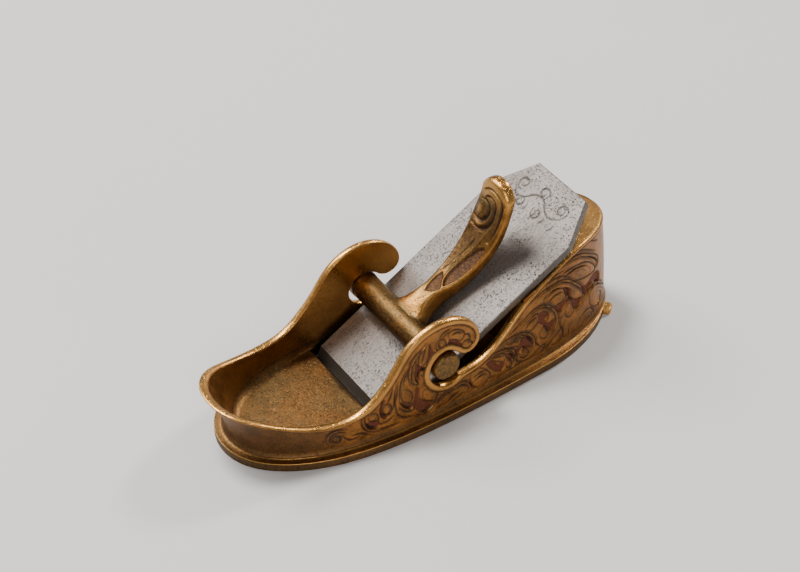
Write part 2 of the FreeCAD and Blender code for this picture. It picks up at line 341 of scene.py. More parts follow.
def rim_rows(step):
    """Matching stations of the upper edge on the outer and the inner wall.

    Near the toe and the heel they match by outline parameter, and between them by x.
    """
    (o0, o1), (i0, i1) = edge_ends(outer), edge_ends(inner)
    k = np.arange(o0, o1 + 1)
    s_out = resample(np.stack([k * 1.0, k * 0.0], 1), step / EDGE_STEP)[:, 0]
    x_out, z_out = (np.interp(s_out, np.arange(len(EDGE)), EDGE[:, c]) for c in range(2))
    t_out = outer.t_at(x_out, z_out)
    k_in = np.arange(i0, i1 + 1)
    t_in = inner.t_at(EDGE[k_in, 0], EDGE[k_in, 1])
    s_toe, s_heel = (np.interp(t_out, t_in[part], k_in[part])
                     for part in (k_in < i0 + NEAR_TOE, k_in > i1 - NEAR_HEEL))
    toe_mix = 1 - smoothstep(-16.0, -10.0, x_out)
    heel_mix = smoothstep(36.0, 41.0, x_out)
    s_in = s_out * (1 - toe_mix - heel_mix) + s_toe * toe_mix + s_heel * heel_mix
    s_in[0], s_in[-1] = i0, i1
    return s_out, s_in


def at_edge(station, inset):
    """Points (x, z) on the upper edge, moved into the metal by inset."""
    k = np.arange(len(EDGE))
    point = np.stack([np.interp(station, k, EDGE[:, c]) for c in range(2)], 1)
    into = np.stack([np.interp(station, k, INTO[:, c]) for c in range(2)], 1)
    into /= np.linalg.norm(into, axis=1)[:, None]
    return point + into * np.asarray(inset).reshape(-1, 1)


# ---------------------------------------------------------------- engraved scrollwork
class Relief:
    """A height map in millimetres over a flat layout, with maps of sunk and cut places."""

    def __init__(self, low, high, cell=0.05):
        self.low, self.cell = np.array(low, float), cell
        self.shape = tuple(np.ceil((np.array(high) - low) / cell).astype(int) + 1)
        self.height = np.zeros(self.shape)
        self.recess = np.zeros(self.shape)
        self.soot_and_shade = np.zeros(self.shape)

    def near(self, line, reach):
        """Distance to a line and the share of its length, over the cells within reach."""
        lo = np.floor((line.min(0) - reach - self.low) / self.cell).astype(int)
        hi = np.ceil((line.max(0) + reach - self.low) / self.cell).astype(int) + 1
        lo, hi = np.clip(lo, 0, self.shape), np.clip(hi, 0, self.shape)
        d = np.full(tuple(hi - lo), 1e3)
        share = np.zeros(d.shape)
        steps = np.linalg.norm(np.diff(line, axis=0), axis=1)
        start = np.concatenate([[0], np.cumsum(steps)])
        for k, (a, b) in enumerate(zip(line[:-1], line[1:])):
            i0 = np.floor((np.minimum(a, b) - reach - self.low) / self.cell).astype(int) - lo
            i1 = np.ceil((np.maximum(a, b) + reach - self.low) / self.cell).astype(int) - lo + 1
            i0, i1 = np.clip(i0, 0, d.shape), np.clip(i1, 0, d.shape)
            if (i1 <= i0).any() or steps[k] == 0:
                continue
            x = (np.arange(i0[0], i1[0]) + lo[0])[:, None] * self.cell + self.low[0] - a[0]
            z = (np.arange(i0[1], i1[1]) + lo[1])[None, :] * self.cell + self.low[1] - a[1]
            ab = b - a
            t = np.clip((x * ab[0] + z * ab[1]) / steps[k] ** 2, 0, 1)
            gap = np.hypot(x - t * ab[0], z - t * ab[1])
            part = (slice(i0[0], i1[0]), slice(i0[1], i1[1]))
            closer = gap < d[part]
            d[part] = np.where(closer, gap, d[part])
            share[part] = np.where(closer, (start[k] + t * steps[k]) / start[-1], share[part])
        return (slice(lo[0], hi[0]), slice(lo[1], hi[1])), d, share

    def stroke(self, points, width, amount, dark=0.0):
        """A ridge (amount > 0) or a groove along a smooth curve, thinning at its ends."""
        line = smooth_curve(points, 0.12) if len(points) > 2 else np.array(points, float)
        place, d, share = self.near(line, width * 1.3)
        taper = np.sin(np.pi * np.clip(share, 0.02, 0.98)) ** 0.6
        w = width * (0.4 + 0.6 * taper)
        shape = np.exp(-(d / (0.5 * w)) ** 2) * (0.5 + 0.5 * taper)
        self.height[place] += amount * shape
        if dark:
            self.soot_and_shade[place] = np.maximum(self.soot_and_shade[place], dark * shape)

    def region(self, points, amount, soft=0.16, sunk=0.0, dome=0.0):
        """Raises or sinks a closed shape, with soft sides and an optional domed middle."""
        ring = smooth_curve(list(points) + [points[0]], 0.12)
        place, d, _ = self.near(ring, max(soft, 1.3 if dome else 0.0, 0.2))
        gx, gz = np.meshgrid(np.arange(place[0].start, place[0].stop),
                             np.arange(place[1].start, place[1].stop), indexing="ij")
        cells = np.stack([gx.ravel(), gz.ravel()], 1) * self.cell + self.low
        inside = points_inside(ring[:-1], cells).reshape(d.shape)
        signed = np.where(inside, d, -d)
        k = smoothstep(-soft, soft, signed)
        lift = amount * k + dome * np.sqrt(np.clip(signed, 0, 1.2) / 1.2)
        self.height[place] += lift
        if sunk:
            self.recess[place] = np.maximum(self.recess[place], sunk * k)
        else:
            self.recess[place] *= 1 - k
            self.soot_and_shade[place] *= 1 - k

    def sample(self, grid, x, z):
        """Values of one of the maps at many places."""
        fx = np.clip((np.asarray(x) - self.low[0]) / self.cell, 0, self.shape[0] - 1.001)
        fz = np.clip((np.asarray(z) - self.low[1]) / self.cell, 0, self.shape[1] - 1.001)
        i, j = fx.astype(int), fz.astype(int)
        u, v = fx - i, fz - j
        return ((grid[i, j] * (1 - u) + grid[i + 1, j] * u) * (1 - v)
                + (grid[i, j + 1] * (1 - u) + grid[i + 1, j + 1] * u) * v)


def spiral(centre, radius, start, turns, shrink=0.3):
    """Points winding in from the radius towards the centre; angles in degrees."""
    count = max(8, int(abs(turns) * 14))
    u = np.linspace(0, 1, count)
    angle = np.radians(start) + 2 * np.pi * turns * u
    r = radius * (1 - (1 - shrink) * u)
    return [(centre[0] + rr * math.cos(a), centre[1] + rr * math.sin(a))
            for rr, a in zip(r, angle)]


def offset(points, distance):
    """A smooth curve moved sideways by a distance."""
    line = smooth_curve(points, 0.3)
    run = np.gradient(line, axis=0)
    side = np.stack([-run[:, 1], run[:, 0]], 1) / np.linalg.norm(run, axis=1)[:, None]
    return [tuple(p) for p in line + side * distance]


# The scrollwork on the wall's side view (x, z). Sunk grounds between the leaves:
GROUNDS = [
    [(10.4, 15.8), (11.7, 15.2), (12.7, 14.1), (13.1, 13.2), (12.6, 12.8), (10.9, 13.9),
     (10.2, 15.0)],
    [(6.7, 16.8), (7.2, 15.2), (8.0, 14.3), (9.2, 14.4), (7.6, 13.2), (6.5, 12.2), (6.0, 11.8),
     (6.3, 13.6), (6.4, 15.4)],
    [(3.9, 14.5), (4.6, 12.9), (5.9, 12.0), (6.0, 11.2), (5.2, 11.9), (4.4, 11.5), (4.4, 9.6),
     (3.8, 10.5), (3.7, 12.5)],
    [(3.8, 9.0), (4.3, 8.1), (4.7, 6.0), (6.3, 4.8), (6.6, 4.1), (5.6, 3.3), (4.0, 3.9), (3.1, 5.5),
     (3.5, 7.4)],
    [(17.9, 7.0), (19.2, 7.0), (20.7, 5.4), (21.8, 5.4), (21.6, 3.9), (19.8, 4.4), (18.5, 6.0)],
    [(22.2, 6.7), (23.3, 6.3), (24.0, 5.1), (23.3, 4.8), (22.5, 5.7)],
    [(25.5, 8.2), (27.0, 8.1), (27.9, 6.7), (27.7, 5.5), (26.6, 5.9), (25.5, 5.6), (24.9, 5.3),
     (24.2, 6.3), (25.1, 6.9)],
    [(29.6, 11.3), (31.0, 11.0), (31.7, 9.8), (31.2, 9.5), (31.7, 8.4), (33.1, 8.5), (32.9, 6.9),
     (31.8, 6.7), (30.6, 8.6), (29.7, 9.5)],
    [(33.3, 11.0), (34.5, 10.8), (36.0, 11.1), (36.8, 11.3), (38.3, 9.6), (40.1, 9.0), (39.8, 7.9),
     (38.4, 7.6), (37.4, 9.6), (36.1, 10.4), (35.1, 9.1), (33.8, 9.9)],
    [(35.4, 13.9), (36.5, 13.2), (37.1, 11.8), (36.5, 11.7), (35.5, 13.0)],
    [(40.0, 11.3), (41.6, 11.0), (43.0, 11.6), (45.6, 10.6), (45.6, 8.6), (43.0, 10.1), (42.1, 9.1),
     (41.4, 8.9)],
    [(-2.8, 9.1), (-2.2, 8.9), (-2.5, 7.8), (-2.0, 6.0), (-1.3, 6.2), (-1.9, 5.2), (-2.6, 5.3),
     (-3.1, 7.1)],
    [(-5.5, 5.7), (-3.5, 5.1), (-3.4, 4.2), (-4.5, 4.0), (-5.6, 4.6)],
    [(0.8, 7.0), (2.0, 6.2), (3.1, 5.9), (2.7, 5.1), (1.6, 5.6)],
]
# Raised stems that wind round each curl, between two cuts.
STEMS = [
    [(8.7, 16.8), (9.5, 17.5), (10.9, 17.8)],
    [(6.1, 16.8), (4.7, 15.8), (3.5, 14.7), (2.9, 13.3), (2.7, 11.3), (3.2, 9.7)],
    [(5.1, 8.8), (6.1, 9.2), (6.2, 10.7), (5.4, 11.7), (4.6, 11.4), (4.8, 10.3)],
    [(8.3, 4), (7, 3.7), (5.8, 3), (4, 3.3)],
    [(11.6, 5.1), (12.4, 5.5), (13.9, 4.8), (14.5, 3.3), (14.1, 2.7)],
    [(16, 6.7), (17.5, 7.7), (19.6, 8.1), (21.6, 7.9), (23.3, 7.2),
     (24.4, 5.7), (24.4, 4.2), (23.6, 3.3), (22.5, 3.5)],
    [(20.7, 9), (22.4, 9.6), (24.2, 9.6), (26.1, 9.2), (27.7, 7.9),
     (28.6, 6.1), (28.4, 4.9), (27.3, 4.6)],
    [(25, 10.6), (26.7, 11.9), (28.5, 12.7), (30.5, 12.6), (32.3, 11.4),
     (33.6, 9.6), (33.9, 7.6), (33.4, 6.2), (32, 5.6)],
    [(29.3, 15.1), (31.3, 15.6), (33.1, 15.6), (34.9, 15.5), (36.9, 14.4),
     (39.3, 12), (40.7, 9.5), (40.5, 7.6), (38.7, 7.2)],
    [(32.4, 17.7), (34.5, 18.7), (37, 18.8), (39.6, 18.2), (42.7, 16.2), (44.8, 13.6),
     (44.5, 12.6)],
    [(41.8, 7.5), (42.4, 8.8), (43.9, 9.1), (47, 7)],
    [(-12.3, 3.6), (-12.5, 4.5), (-12.2, 5.5), (-11, 6), (-9.4, 5.5)],
    [(-6.3, 7.2), (-6.2, 5.4), (-5.2, 3.9), (-3.6, 3.4)],
]
# Domed leaf bodies and the round eyes of the curls.
LOBES = [
    [(10.4, 16), (10.3, 17.1), (11.1, 17.5), (12.5, 17), (13.5, 15.7), (12.9, 14.7), (11.7, 15.2)],
    [(13.1, 13.2), (13.3, 14.1), (13.9, 14.2), (14.7, 13.6), (15.1, 12.5), (14.3, 12.1)],
    [(7.8, 16), (8.5, 16.7), (9.2, 16.6), (9.8, 15.4), (9.8, 14.2), (8.8, 14.2), (8, 14.8)],
    [(6.1, 17.2), (6.7, 15.7), (6.4, 14.1), (5.8, 13.2), (4.6, 12.9), (4.5, 14.7), (4.9, 16.1)],
    [(5.1, 7.7), (6.1, 7.7), (7.3, 6.9), (7.9, 5.5), (7.5, 4.6), (6.3, 4.8), (5.1, 5.8)],
    [(1.1, 9.7), (2.2, 9.1), (3, 7.7), (2.7, 6.5), (1.8, 6.6), (0.9, 8.1)],
    [(3.3, 12.7), (3.8, 11.8), (3.8, 10.5), (4.2, 9.5), (3.4, 9.7), (2.9, 11.2)],
    [(14.7, 6.7), (16.4, 6.9), (17.9, 5.7), (18.8, 4.1), (18.1, 3.2),
     (17, 2.6), (15.5, 3.2), (14.5, 5.1)],
    [(18.1, 7.5), (19.4, 7.7), (20.9, 7.6), (22.2, 6.5), (21.8, 5.6), (20.5, 6.1), (19, 7.1)],
    [(22.2, 4.9), (22.9, 5.4), (23.6, 4.4), (23.3, 3.4), (22.7, 3.6)],
    [(21.5, 8.8), (23.1, 9), (24.8, 8.8), (26.2, 7.9), (25.3, 7.2), (24, 7.3), (22.4, 7.9)],
    [(25.3, 5.5), (26, 6.2), (27.1, 5.2), (27.3, 4.2), (26.4, 3.8), (25.5, 4.5)],
    [(25.7, 10.3), (27.4, 11.3), (29.2, 11.7), (29.6, 10.4), (28.8, 9.3), (27.2, 8.8), (25.9, 9.1)],
    [(29.9, 7.4), (30.8, 8.1), (31.8, 6.7), (31.3, 5.6), (30.2, 6)],
    [(30.7, 14), (32.2, 14.6), (34.1, 14.4), (35.7, 13.3), (36, 11.8),
     (34.8, 11.2), (33, 11.2), (31.4, 11.9)],
    [(35.9, 9.3), (36.6, 9.9), (37.7, 8.9), (38.1, 7.4), (37, 6.8), (35.9, 7.9)],
    [(33.6, 16.4), (35.5, 17), (38.5, 16.8), (42.8, 14.6), (44, 12.5),
     (41.9, 12.5), (39.3, 13.3), (36.4, 14.5)],
    [(42.5, 7.9), (43.6, 8.7), (45.8, 7.9), (49, 3.4), (46.7, 3.5), (44.3, 4.1), (42.6, 6.2)],
    [(-11.9, 4.6), (-11.1, 5), (-10.3, 4.3), (-10.5, 3.5), (-11.4, 3.6)],
    [(-5.3, 7.1), (-4.4, 7.2), (-3.5, 6.2), (-3.7, 5.2), (-5.1, 5.8)],
    [(-2.6, 7), (-2, 8.1), (-1.2, 7.5), (-1.1, 6.4), (-1.9, 5.6)],
    [(21.6, 3), (23.6, 3.1), (25.4, 3), (24.5, 1.7), (22.7, 1.6)],
    [(28, 3.1), (29.6, 3.9), (30.9, 4.3), (30.5, 2.7), (28.9, 2.2)],
    [(32.3, 3.7), (33.7, 4.7), (35.2, 5.5), (35.3, 3.5), (33.8, 2.6)],
    [(39.2, 2.4), (40, 4.5), (42, 5.2), (44, 2.8), (43, 1.2), (40.9, 0.9)],
]
# Single graver cuts: veins, hooks and the long lines beside the stems.
CUTS = [
    [(13.5, 15.5), (14.1, 15.4), (14.5, 14.8), (14.5, 13.9)],
    [(8.4, 16.3), (8.4, 15.5), (9, 14.8)],
    [(10.9, 16.6), (11.9, 16.7), (13.1, 16.1)],
    [(5.9, 16.7), (5.5, 15.2), (5, 13.6)],
    [(5.2, 10.9), (5.8, 10.2), (5.4, 9.8)],
    [(0.5, 7.4), (1.4, 5.9), (2.5, 5.3), (3.3, 5.8)],
    [(0.4, 6.3), (1.5, 4.9), (3.1, 4.6), (3.7, 5.2)],
    [(2.1, 13.4), (1.2, 11.8), (0.7, 9.6), (0.5, 7.6)],
    [(3.1, 13.8), (1.9, 12.3), (1.3, 10.2)],
    [(0.4, 11.7), (-0.2, 9.7), (-0.3, 7.1), (0.2, 4.5)],
    [(11.8, 5), (12.6, 5), (13.6, 4.2), (13.2, 3.8)],
    [(11.3, 4.8), (9.9, 4.7), (8.5, 3.9)],
    [(12.2, 3.9), (10.7, 3.4), (9.7, 2.4)],
    [(13, 3.2), (11.7, 2.6), (10.7, 1.8)],
    [(10.3, 5.3), (8.9, 4.7), (7.8, 3.7)],
    [(14.1, 4.7), (14.7, 4.3), (15.1, 3.2), (16.4, 2.3), (17.7, 2.5), (18.5, 3.4), (19.8, 3.3)],
    [(15.3, 4.4), (16.6, 5.1), (18.1, 4.7)],
    [(15.3, 5.3), (16.4, 5.8), (17.5, 5.7)],
    [(22.7, 6.7), (23.5, 6), (24, 4.6), (23.6, 4)],
    [(19, 7.5), (20.3, 7.3), (21.6, 6.8)],
    [(26.6, 8.1), (27.7, 7), (28, 5.6), (27.3, 5.3)],
    [(22.6, 8.6), (23.9, 8.6), (25.3, 8.1)],
    [(24.9, 5.9), (24.4, 4.8), (25.1, 3.6), (26.9, 3.1)],
    [(29.8, 11.6), (31.2, 11.1), (31.9, 9.6), (31.2, 9.1)],
    [(26.6, 10), (27.9, 10.9), (29.2, 11.1)],
    [(29.3, 6.7), (29.1, 5.7), (30, 4.3)],
    [(35.7, 13.7), (36.8, 12.4), (36.8, 11.3), (38, 9.9), (40.1, 9)],
    [(31.8, 12.9), (33.2, 13.4), (35.2, 13.2)],
    [(31.6, 13.9), (32.9, 14.5), (34.6, 14.3)],
    [(35.1, 8.2), (34.7, 6.9), (35.3, 4.8)],
    [(41.9, 16.6), (43.8, 14.8), (44.9, 12.9), (44, 12.7)],
    [(35.6, 16.1), (38, 16.3), (41.3, 15.1)],
    [(29.7, 16.6), (31.9, 16.9), (34.6, 16.7), (37.5, 14.7)],
    [(30.6, 17.2), (32.8, 17.5), (35.5, 17.6)],
    [(33.7, 20.4), (36.2, 20.2), (39.9, 19.1), (44.1, 16.3)],
    [(37.5, 21.1), (40.7, 20.2), (44.9, 17.8)],
    [(22.2, 11.7), (23.9, 12.9), (25.4, 14.1), (27.1, 14.9)],
    [(22.8, 10.5), (24.6, 11.3), (26.1, 12.4)],
    [(26, 14.2), (27.8, 15), (29.7, 15.5)],
    [(17.9, 8.3), (19.4, 9.3), (20.9, 10.2), (22.4, 10.9)],
    [(25.4, 3), (27.6, 2.9), (29.8, 3.1)],
    [(31.2, 3.2), (32.6, 3.8), (33.5, 4.6)],
    [(33.6, 2.5), (35.9, 2.4), (38.7, 1.9)],
    [(36, 6.6), (35.3, 4.8), (35.9, 2.7)],
    [(37.7, 5.2), (36.9, 3.8), (37.2, 2)],
    [(39.9, 1.9), (41.1, 2.8), (43.6, 2.3)],
    [(45.4, 2.3), (46.2, 4), (46.4, 6)],
    [(20.5, 1.6), (22.7, 1.3), (24.9, 1.5)],
    [(15.8, 1.8), (17.9, 1.7), (20.1, 1.9)],
    [(-10.1, 4.6), (-8.6, 3.2), (-7, 3.3)],
    [(-8.8, 3.1), (-7.4, 2.1), (-5.6, 2.3)],
    [(-5.9, 5.6), (-5, 4.4), (-3.8, 3.9)],
    [(-2.3, 9.1), (-2.9, 7.8), (-2.6, 5.8), (-1.5, 5.7), (-0.7, 6.6)],
    [(-0.6, 10.9), (-1.2, 9), (-2, 7.9)],
    [(0.4, 11.1), (-0.1, 8.3), (-1.1, 5.7)],
    [(-8.4, 4), (-6.7, 3.8), (-4.9, 2.6)],
    [(-3.4, 4.4), (-1.9, 4.4), (-0.8, 4.9)],
    [(0, 5), (1.1, 3.8), (3, 3.3)],
    [(-4.2, 3.2), (-1.9, 3.1), (0.3, 3.1)],
    [(-11.8, 3), (-9.7, 2.1), (-7.4, 2.1)],
]


def engrave():
    """The relief of the outer wall's scrollwork."""
    relief = Relief((-17.0, 1.5), (49.5, TOP_Z))
    for points in GROUNDS:
        relief.region(points, -0.34, 0.14, sunk=1.0)
    for points in LOBES:
        relief.region(points, 0.02, 0.1, dome=0.035)
        relief.stroke(points + [points[0]], 0.32, -0.17, 1.0)
        middle = np.mean(points, axis=0)
        for share in (0.7, 0.42):
            inner_line = middle + (np.array(points[:2 + 2 * len(points) // 3]) - middle) * share
            relief.stroke([tuple(p) for p in inner_line], 0.16, -0.08, 0.6)
    for points in STEMS:
        for side in (-0.3, 0.3):
            relief.stroke(offset(points, side), 0.32, -0.18, 1.0)
            if len(points) > 4:
                relief.stroke(offset(points[1:-1], side * 2.1), 0.18, -0.1, 0.7)
        relief.stroke(points, 0.34, 0.1)
    for points in CUTS:
        relief.stroke(points, 0.34, -0.2, 1.0)
    return relief


# ---------------------------------------------------------------- materials
def new_material(name):
    material = bpy.data.materials.new(name)
    material.use_nodes = True
    tree = material.node_tree
    return material, tree, tree.nodes["Principled BSDF"]


def node(tree, kind, **values):
    made = tree.nodes.new(kind)
    for key, value in values.items():
        if hasattr(made, key):
            setattr(made, key, value)
        else:
            made.inputs[key.replace("_", " ")].default_value = value
    return made


def noise(tree, scale, detail=6.0, rough=0.6, stretch=(1, 1, 1)):
    place = node(tree, "ShaderNodeTexCoord")
    mapping = node(tree, "ShaderNodeMapping")
    mapping.inputs["Scale"].default_value = stretch
    tree.links.new(place.outputs["Object"], mapping.inputs["Vector"])
    made = node(tree, "ShaderNodeTexNoise", Scale=scale, Detail=detail, Roughness=rough)
    tree.links.new(mapping.outputs["Vector"], made.inputs["Vector"])
    return made.outputs["Fac"]


def ramp(tree, fac, *stops):
    made = node(tree, "ShaderNodeValToRGB")
    while len(made.color_ramp.elements) < len(stops):
        made.color_ramp.elements.new(0.5)
    for element, (position, color) in zip(made.color_ramp.elements, stops):
        element.position = position
        element.color = color if isinstance(color, tuple) else (color, color, color, 1)
    tree.links.new(fac, made.inputs["Fac"])
    return made.outputs["Color"]


def mix(tree, fac, a, b):
    made = node(tree, "ShaderNodeMix", data_type="RGBA")
    for socket, value in ((made.inputs[0], fac), (made.inputs[6], a), (made.inputs[7], b)):
        if isinstance(value, (tuple, float, int)):
            socket.default_value = value
        else:
            tree.links.new(value, socket)
    return made.outputs[2]


def maths(tree, operation, a, b=0.0, c=0.0, clamp=False):
    made = node(tree, "ShaderNodeMath", operation=operation, use_clamp=clamp)
    for socket, value in zip(made.inputs, (a, b, c)):
        if isinstance(value, (float, int)):
            socket.default_value = value
        else:
            tree.links.new(value, socket)
    return made.outputs[0]


def attribute(tree, name):
    return node(tree, "ShaderNodeAttribute", attribute_name=name).outputs["Fac"]


def bump(tree, bsdf, height, strength, distance):
    made = node(tree, "ShaderNodeBump", Strength=strength, Distance=distance)
    tree.links.new(height, made.inputs["Height"])
    tree.links.new(made.outputs["Normal"], bsdf.inputs["Normal"])


def bronze(name, bright, dark, recess_color, grime_and_shade_color, rough=(0.3, 0.5)):
    """Cast bronze: warm brown patina, brighter on worn edges and painted highlights, dull and red
    in the cuts, darker with grime and painted shade.
    """
    material, tree, bsdf = new_material(name)
    blotch = noise(tree, 420, 6.0, 0.6)
    cloud = noise(tree, 110, 4.0, 0.55)
    speck = noise(tree, 2300, 4.0, 0.65)
    base = mix(tree, ramp(tree, blotch, (0.38, 0.0), (0.64, 1.0)), dark, bright)
    base = mix(tree, ramp(tree, cloud, (0.42, 0.0), (0.68, 0.5)), base, bright)
    olive = ramp(tree, noise(tree, 700, 5.0, 0.6), (0.5, 0.0), (0.7, 0.4))
    base = mix(tree, olive, base, (0.17, 0.13, 0.035, 1))
    # grime mark: real grime and olive patina, and also painted shade at the toe, in the mouth and
    # on the lever's bar
    grime_and_shade = attribute(tree, "grime_and_shade")
    mottle = mix(tree, ramp(tree, cloud, (0.4, 0.0), (0.65, 0.55)), grime_and_shade_color, dark)
    grime_and_shade_base = mix(tree, ramp(tree, speck, (0.4, 0.0), (0.75, 0.5)), mottle, bright)
    base = mix(tree, grime_and_shade, base, grime_and_shade_base)
    base = mix(tree, ramp(tree, speck, (0.6, 0.0), (0.75, 0.4)), base, (0.5, 0.28, 0.08, 1))
    base = mix(tree, ramp(tree, speck, (0.32, 0.8), (0.42, 0.0)), base, (0.04, 0.02, 0.008, 1))
    recess, soot_and_shade = attribute(tree, "recess"), attribute(tree, "soot_and_shade")
    wear_and_highlight = attribute(tree, "wear_and_highlight")
    # wear mark: worn metal, and also painted highlights along edges, beads and ridges
    base = mix(tree, wear_and_highlight, base, (0.86, 0.45, 0.12, 1))
    stipple = mix(tree, ramp(tree, speck, (0.46, 0.0), (0.62, 0.6)), recess_color, dark)
    base = mix(tree, recess, base, stipple)
    # soot mark: dark patina in the cuts, and also painted shade at the toe and in the mouth
    base = mix(tree, soot_and_shade, base, (0.022, 0.01, 0.005, 1))
    tree.links.new(base, bsdf.inputs["Base Color"])
    cut = maths(tree, "MAXIMUM", recess, soot_and_shade)
    metal = maths(tree, "SUBTRACT", 1.0, maths(tree, "MULTIPLY", cut, 0.45), clamp=True)
    tree.links.new(metal, bsdf.inputs["Metallic"])
    uneven = maths(tree, "MULTIPLY_ADD", blotch, rough[1] - rough[0], rough[0])
    more = maths(tree, "ADD", uneven, maths(tree, "MULTIPLY", cut, 0.3))
    more = maths(tree, "ADD", more, maths(tree, "MULTIPLY", grime_and_shade, 0.12))
    more = maths(tree, "SUBTRACT", more, maths(tree, "MULTIPLY", wear_and_highlight, 0.12), clamp=True)
    tree.links.new(more, bsdf.inputs["Roughness"])
    pits = ramp(tree, noise(tree, 2900, 2.0, 0.5), (0.3, 0.0), (0.42, 1.0))
    height = maths(tree, "ADD", maths(tree, "MULTIPLY", speck, 0.9), pits)
    height = maths(tree, "ADD", height, maths(tree, "MULTIPLY", blotch, 1.2))
    bump(tree, bsdf, height, 0.5, 0.00008)
    return material


def steel(name):
    """Ground tool steel: pale, faintly streaked along the grind, with fine dark pits."""
    material, tree, bsdf = new_material(name)
    bsdf.inputs["Metallic"].default_value = 0.65
    streak = noise(tree, 300, 6.0, 0.65, (1.0, 7.0, 1.0))
    cloud = noise(tree, 90, 5.0, 0.55)
    base = mix(tree, ramp(tree, streak, (0.3, 0.0), (0.7, 1.0)), (0.16, 0.143, 0.13, 1),
               (0.23, 0.206, 0.19, 1))
    base = mix(tree, ramp(tree, cloud, (0.52, 0.0), (0.72, 0.45)), base, (0.11, 0.092, 0.077, 1))
    pits = ramp(tree, noise(tree, 2600, 5.0, 0.8), (0.41, 1.0), (0.46, 0.0))
    patch = ramp(tree, noise(tree, 200, 3.0, 0.5), (0.4, 0.35), (0.6, 1.0))
    pits = maths(tree, "MULTIPLY", pits, patch)
    base = mix(tree, pits, base, (0.05, 0.04, 0.032, 1))
    base = mix(tree, attribute(tree, "soot_and_shade"), base, (0.035, 0.025, 0.018, 1))
    # painted shade on the cutter's sides and ends
    base = mix(tree, attribute(tree, "grime_and_shade"), base, (0.085, 0.068, 0.052, 1))
    tree.links.new(base, bsdf.inputs["Base Color"])
    uneven = maths(tree, "MULTIPLY_ADD", cloud, 0.25, 0.36)
    more = maths(tree, "ADD", uneven, maths(tree, "MULTIPLY", pits, 0.35), clamp=True)
    tree.links.new(more, bsdf.inputs["Roughness"])
    height = maths(tree, "SUBTRACT", maths(tree, "MULTIPLY", streak, 0.25), pits)
    bump(tree, bsdf, height, 0.4, 0.00005)
    return material


def plain_floor():
    material, tree, bsdf = new_material("pale_floor")
    soft = noise(tree, 6, 3.0, 0.5)
    tree.links.new(ramp(tree, soft, (0.3, (0.60, 0.59, 0.575, 1)), (0.7, (0.63, 0.62, 0.605, 1))),
                   bsdf.inputs["Base Color"])
    bsdf.inputs["Roughness"].default_value = 0.6
    return material


# The last colour of each bronze is for grime and painted shade.
CASTING = bronze("bronze_casting", (0.33, 0.135, 0.034, 1), (0.145, 0.056, 0.015, 1),
                 (0.13, 0.028, 0.01, 1), (0.125, 0.094, 0.044, 1), rough=(0.26, 0.46))
LEVER_METAL = bronze("lever_bronze", (0.36, 0.16, 0.036, 1), (0.19, 0.082, 0.019, 1),
                     (0.05, 0.018, 0.012, 1), (0.085, 0.064, 0.03, 1), rough=(0.22, 0.4))
STEEL = steel("cutter_steel")

# ---------------------------------------------------------------- body casting
RIM_RADIUS = 0.34
FOOT_Z, INNER_FOOT_Z = 2.7, 3.7         # where the wall faces end and the fillets start
FINE, COARSE = 0.18, 0.55               # mesh steps of the engraved and the plain stretch
INNER_FINE, INNER_COARSE = 0.45, 0.6
FINE_FROM = 12.0                        # length along the wall where the engraving starts
# point marks: sunk grounds; wear with painted highlights; grime with painted shade; soot with
# painted shade
MARKS = ("recess", "wear_and_highlight", "grime_and_shade", "soot_and_shade")


class Builder:
    """Collects points, faces and per-point attributes of one mesh."""

    def __init__(self):
        self.points, self.faces, self.marks = [], [], []

    def add(self, points, recess=0.0, wear_and_highlight=0.0, grime_and_shade=0.0, soot_and_shade=0.0):
        start = sum(len(p) for p in self.points)
        points = np.atleast_2d(points)
        self.points.append(points)
        marks = [np.broadcast_to(v, len(points)) for v in (recess, wear_and_highlight, grime_and_shade, soot_and_shade)]
        self.marks.append(np.clip(np.stack(marks, 1), 0, 1))
        return np.arange(start, start + len(points))

    def at(self, numbers):
        """The points that these numbers stand for."""
        return np.concatenate(self.points)[numbers]

    def finish(self, name, material, mirror=False):
        points, marks = np.concatenate(self.points), np.concatenate(self.marks)
        faces = list(self.faces)
        if mirror:
            n = len(points)
            faces += [tuple(n + v for v in f[::-1]) for f in self.faces]
            points = np.concatenate([points, points * np.array([1, -1, 1])])
            marks = np.concatenate([marks, marks])
        return make_object(name, points, faces, material, dict(zip(MARKS, marks.T)))


def arc_table(wall, z):
    """Outline parameters of a wall at height z, and the length of the outline up to each."""
    t = np.linspace(0, 3, 1501)
    p = wall.point(t, np.full(len(t), z))
    return t, np.concatenate([[0], np.cumsum(np.linalg.norm(np.diff(p[:, :2], axis=0), axis=1))])


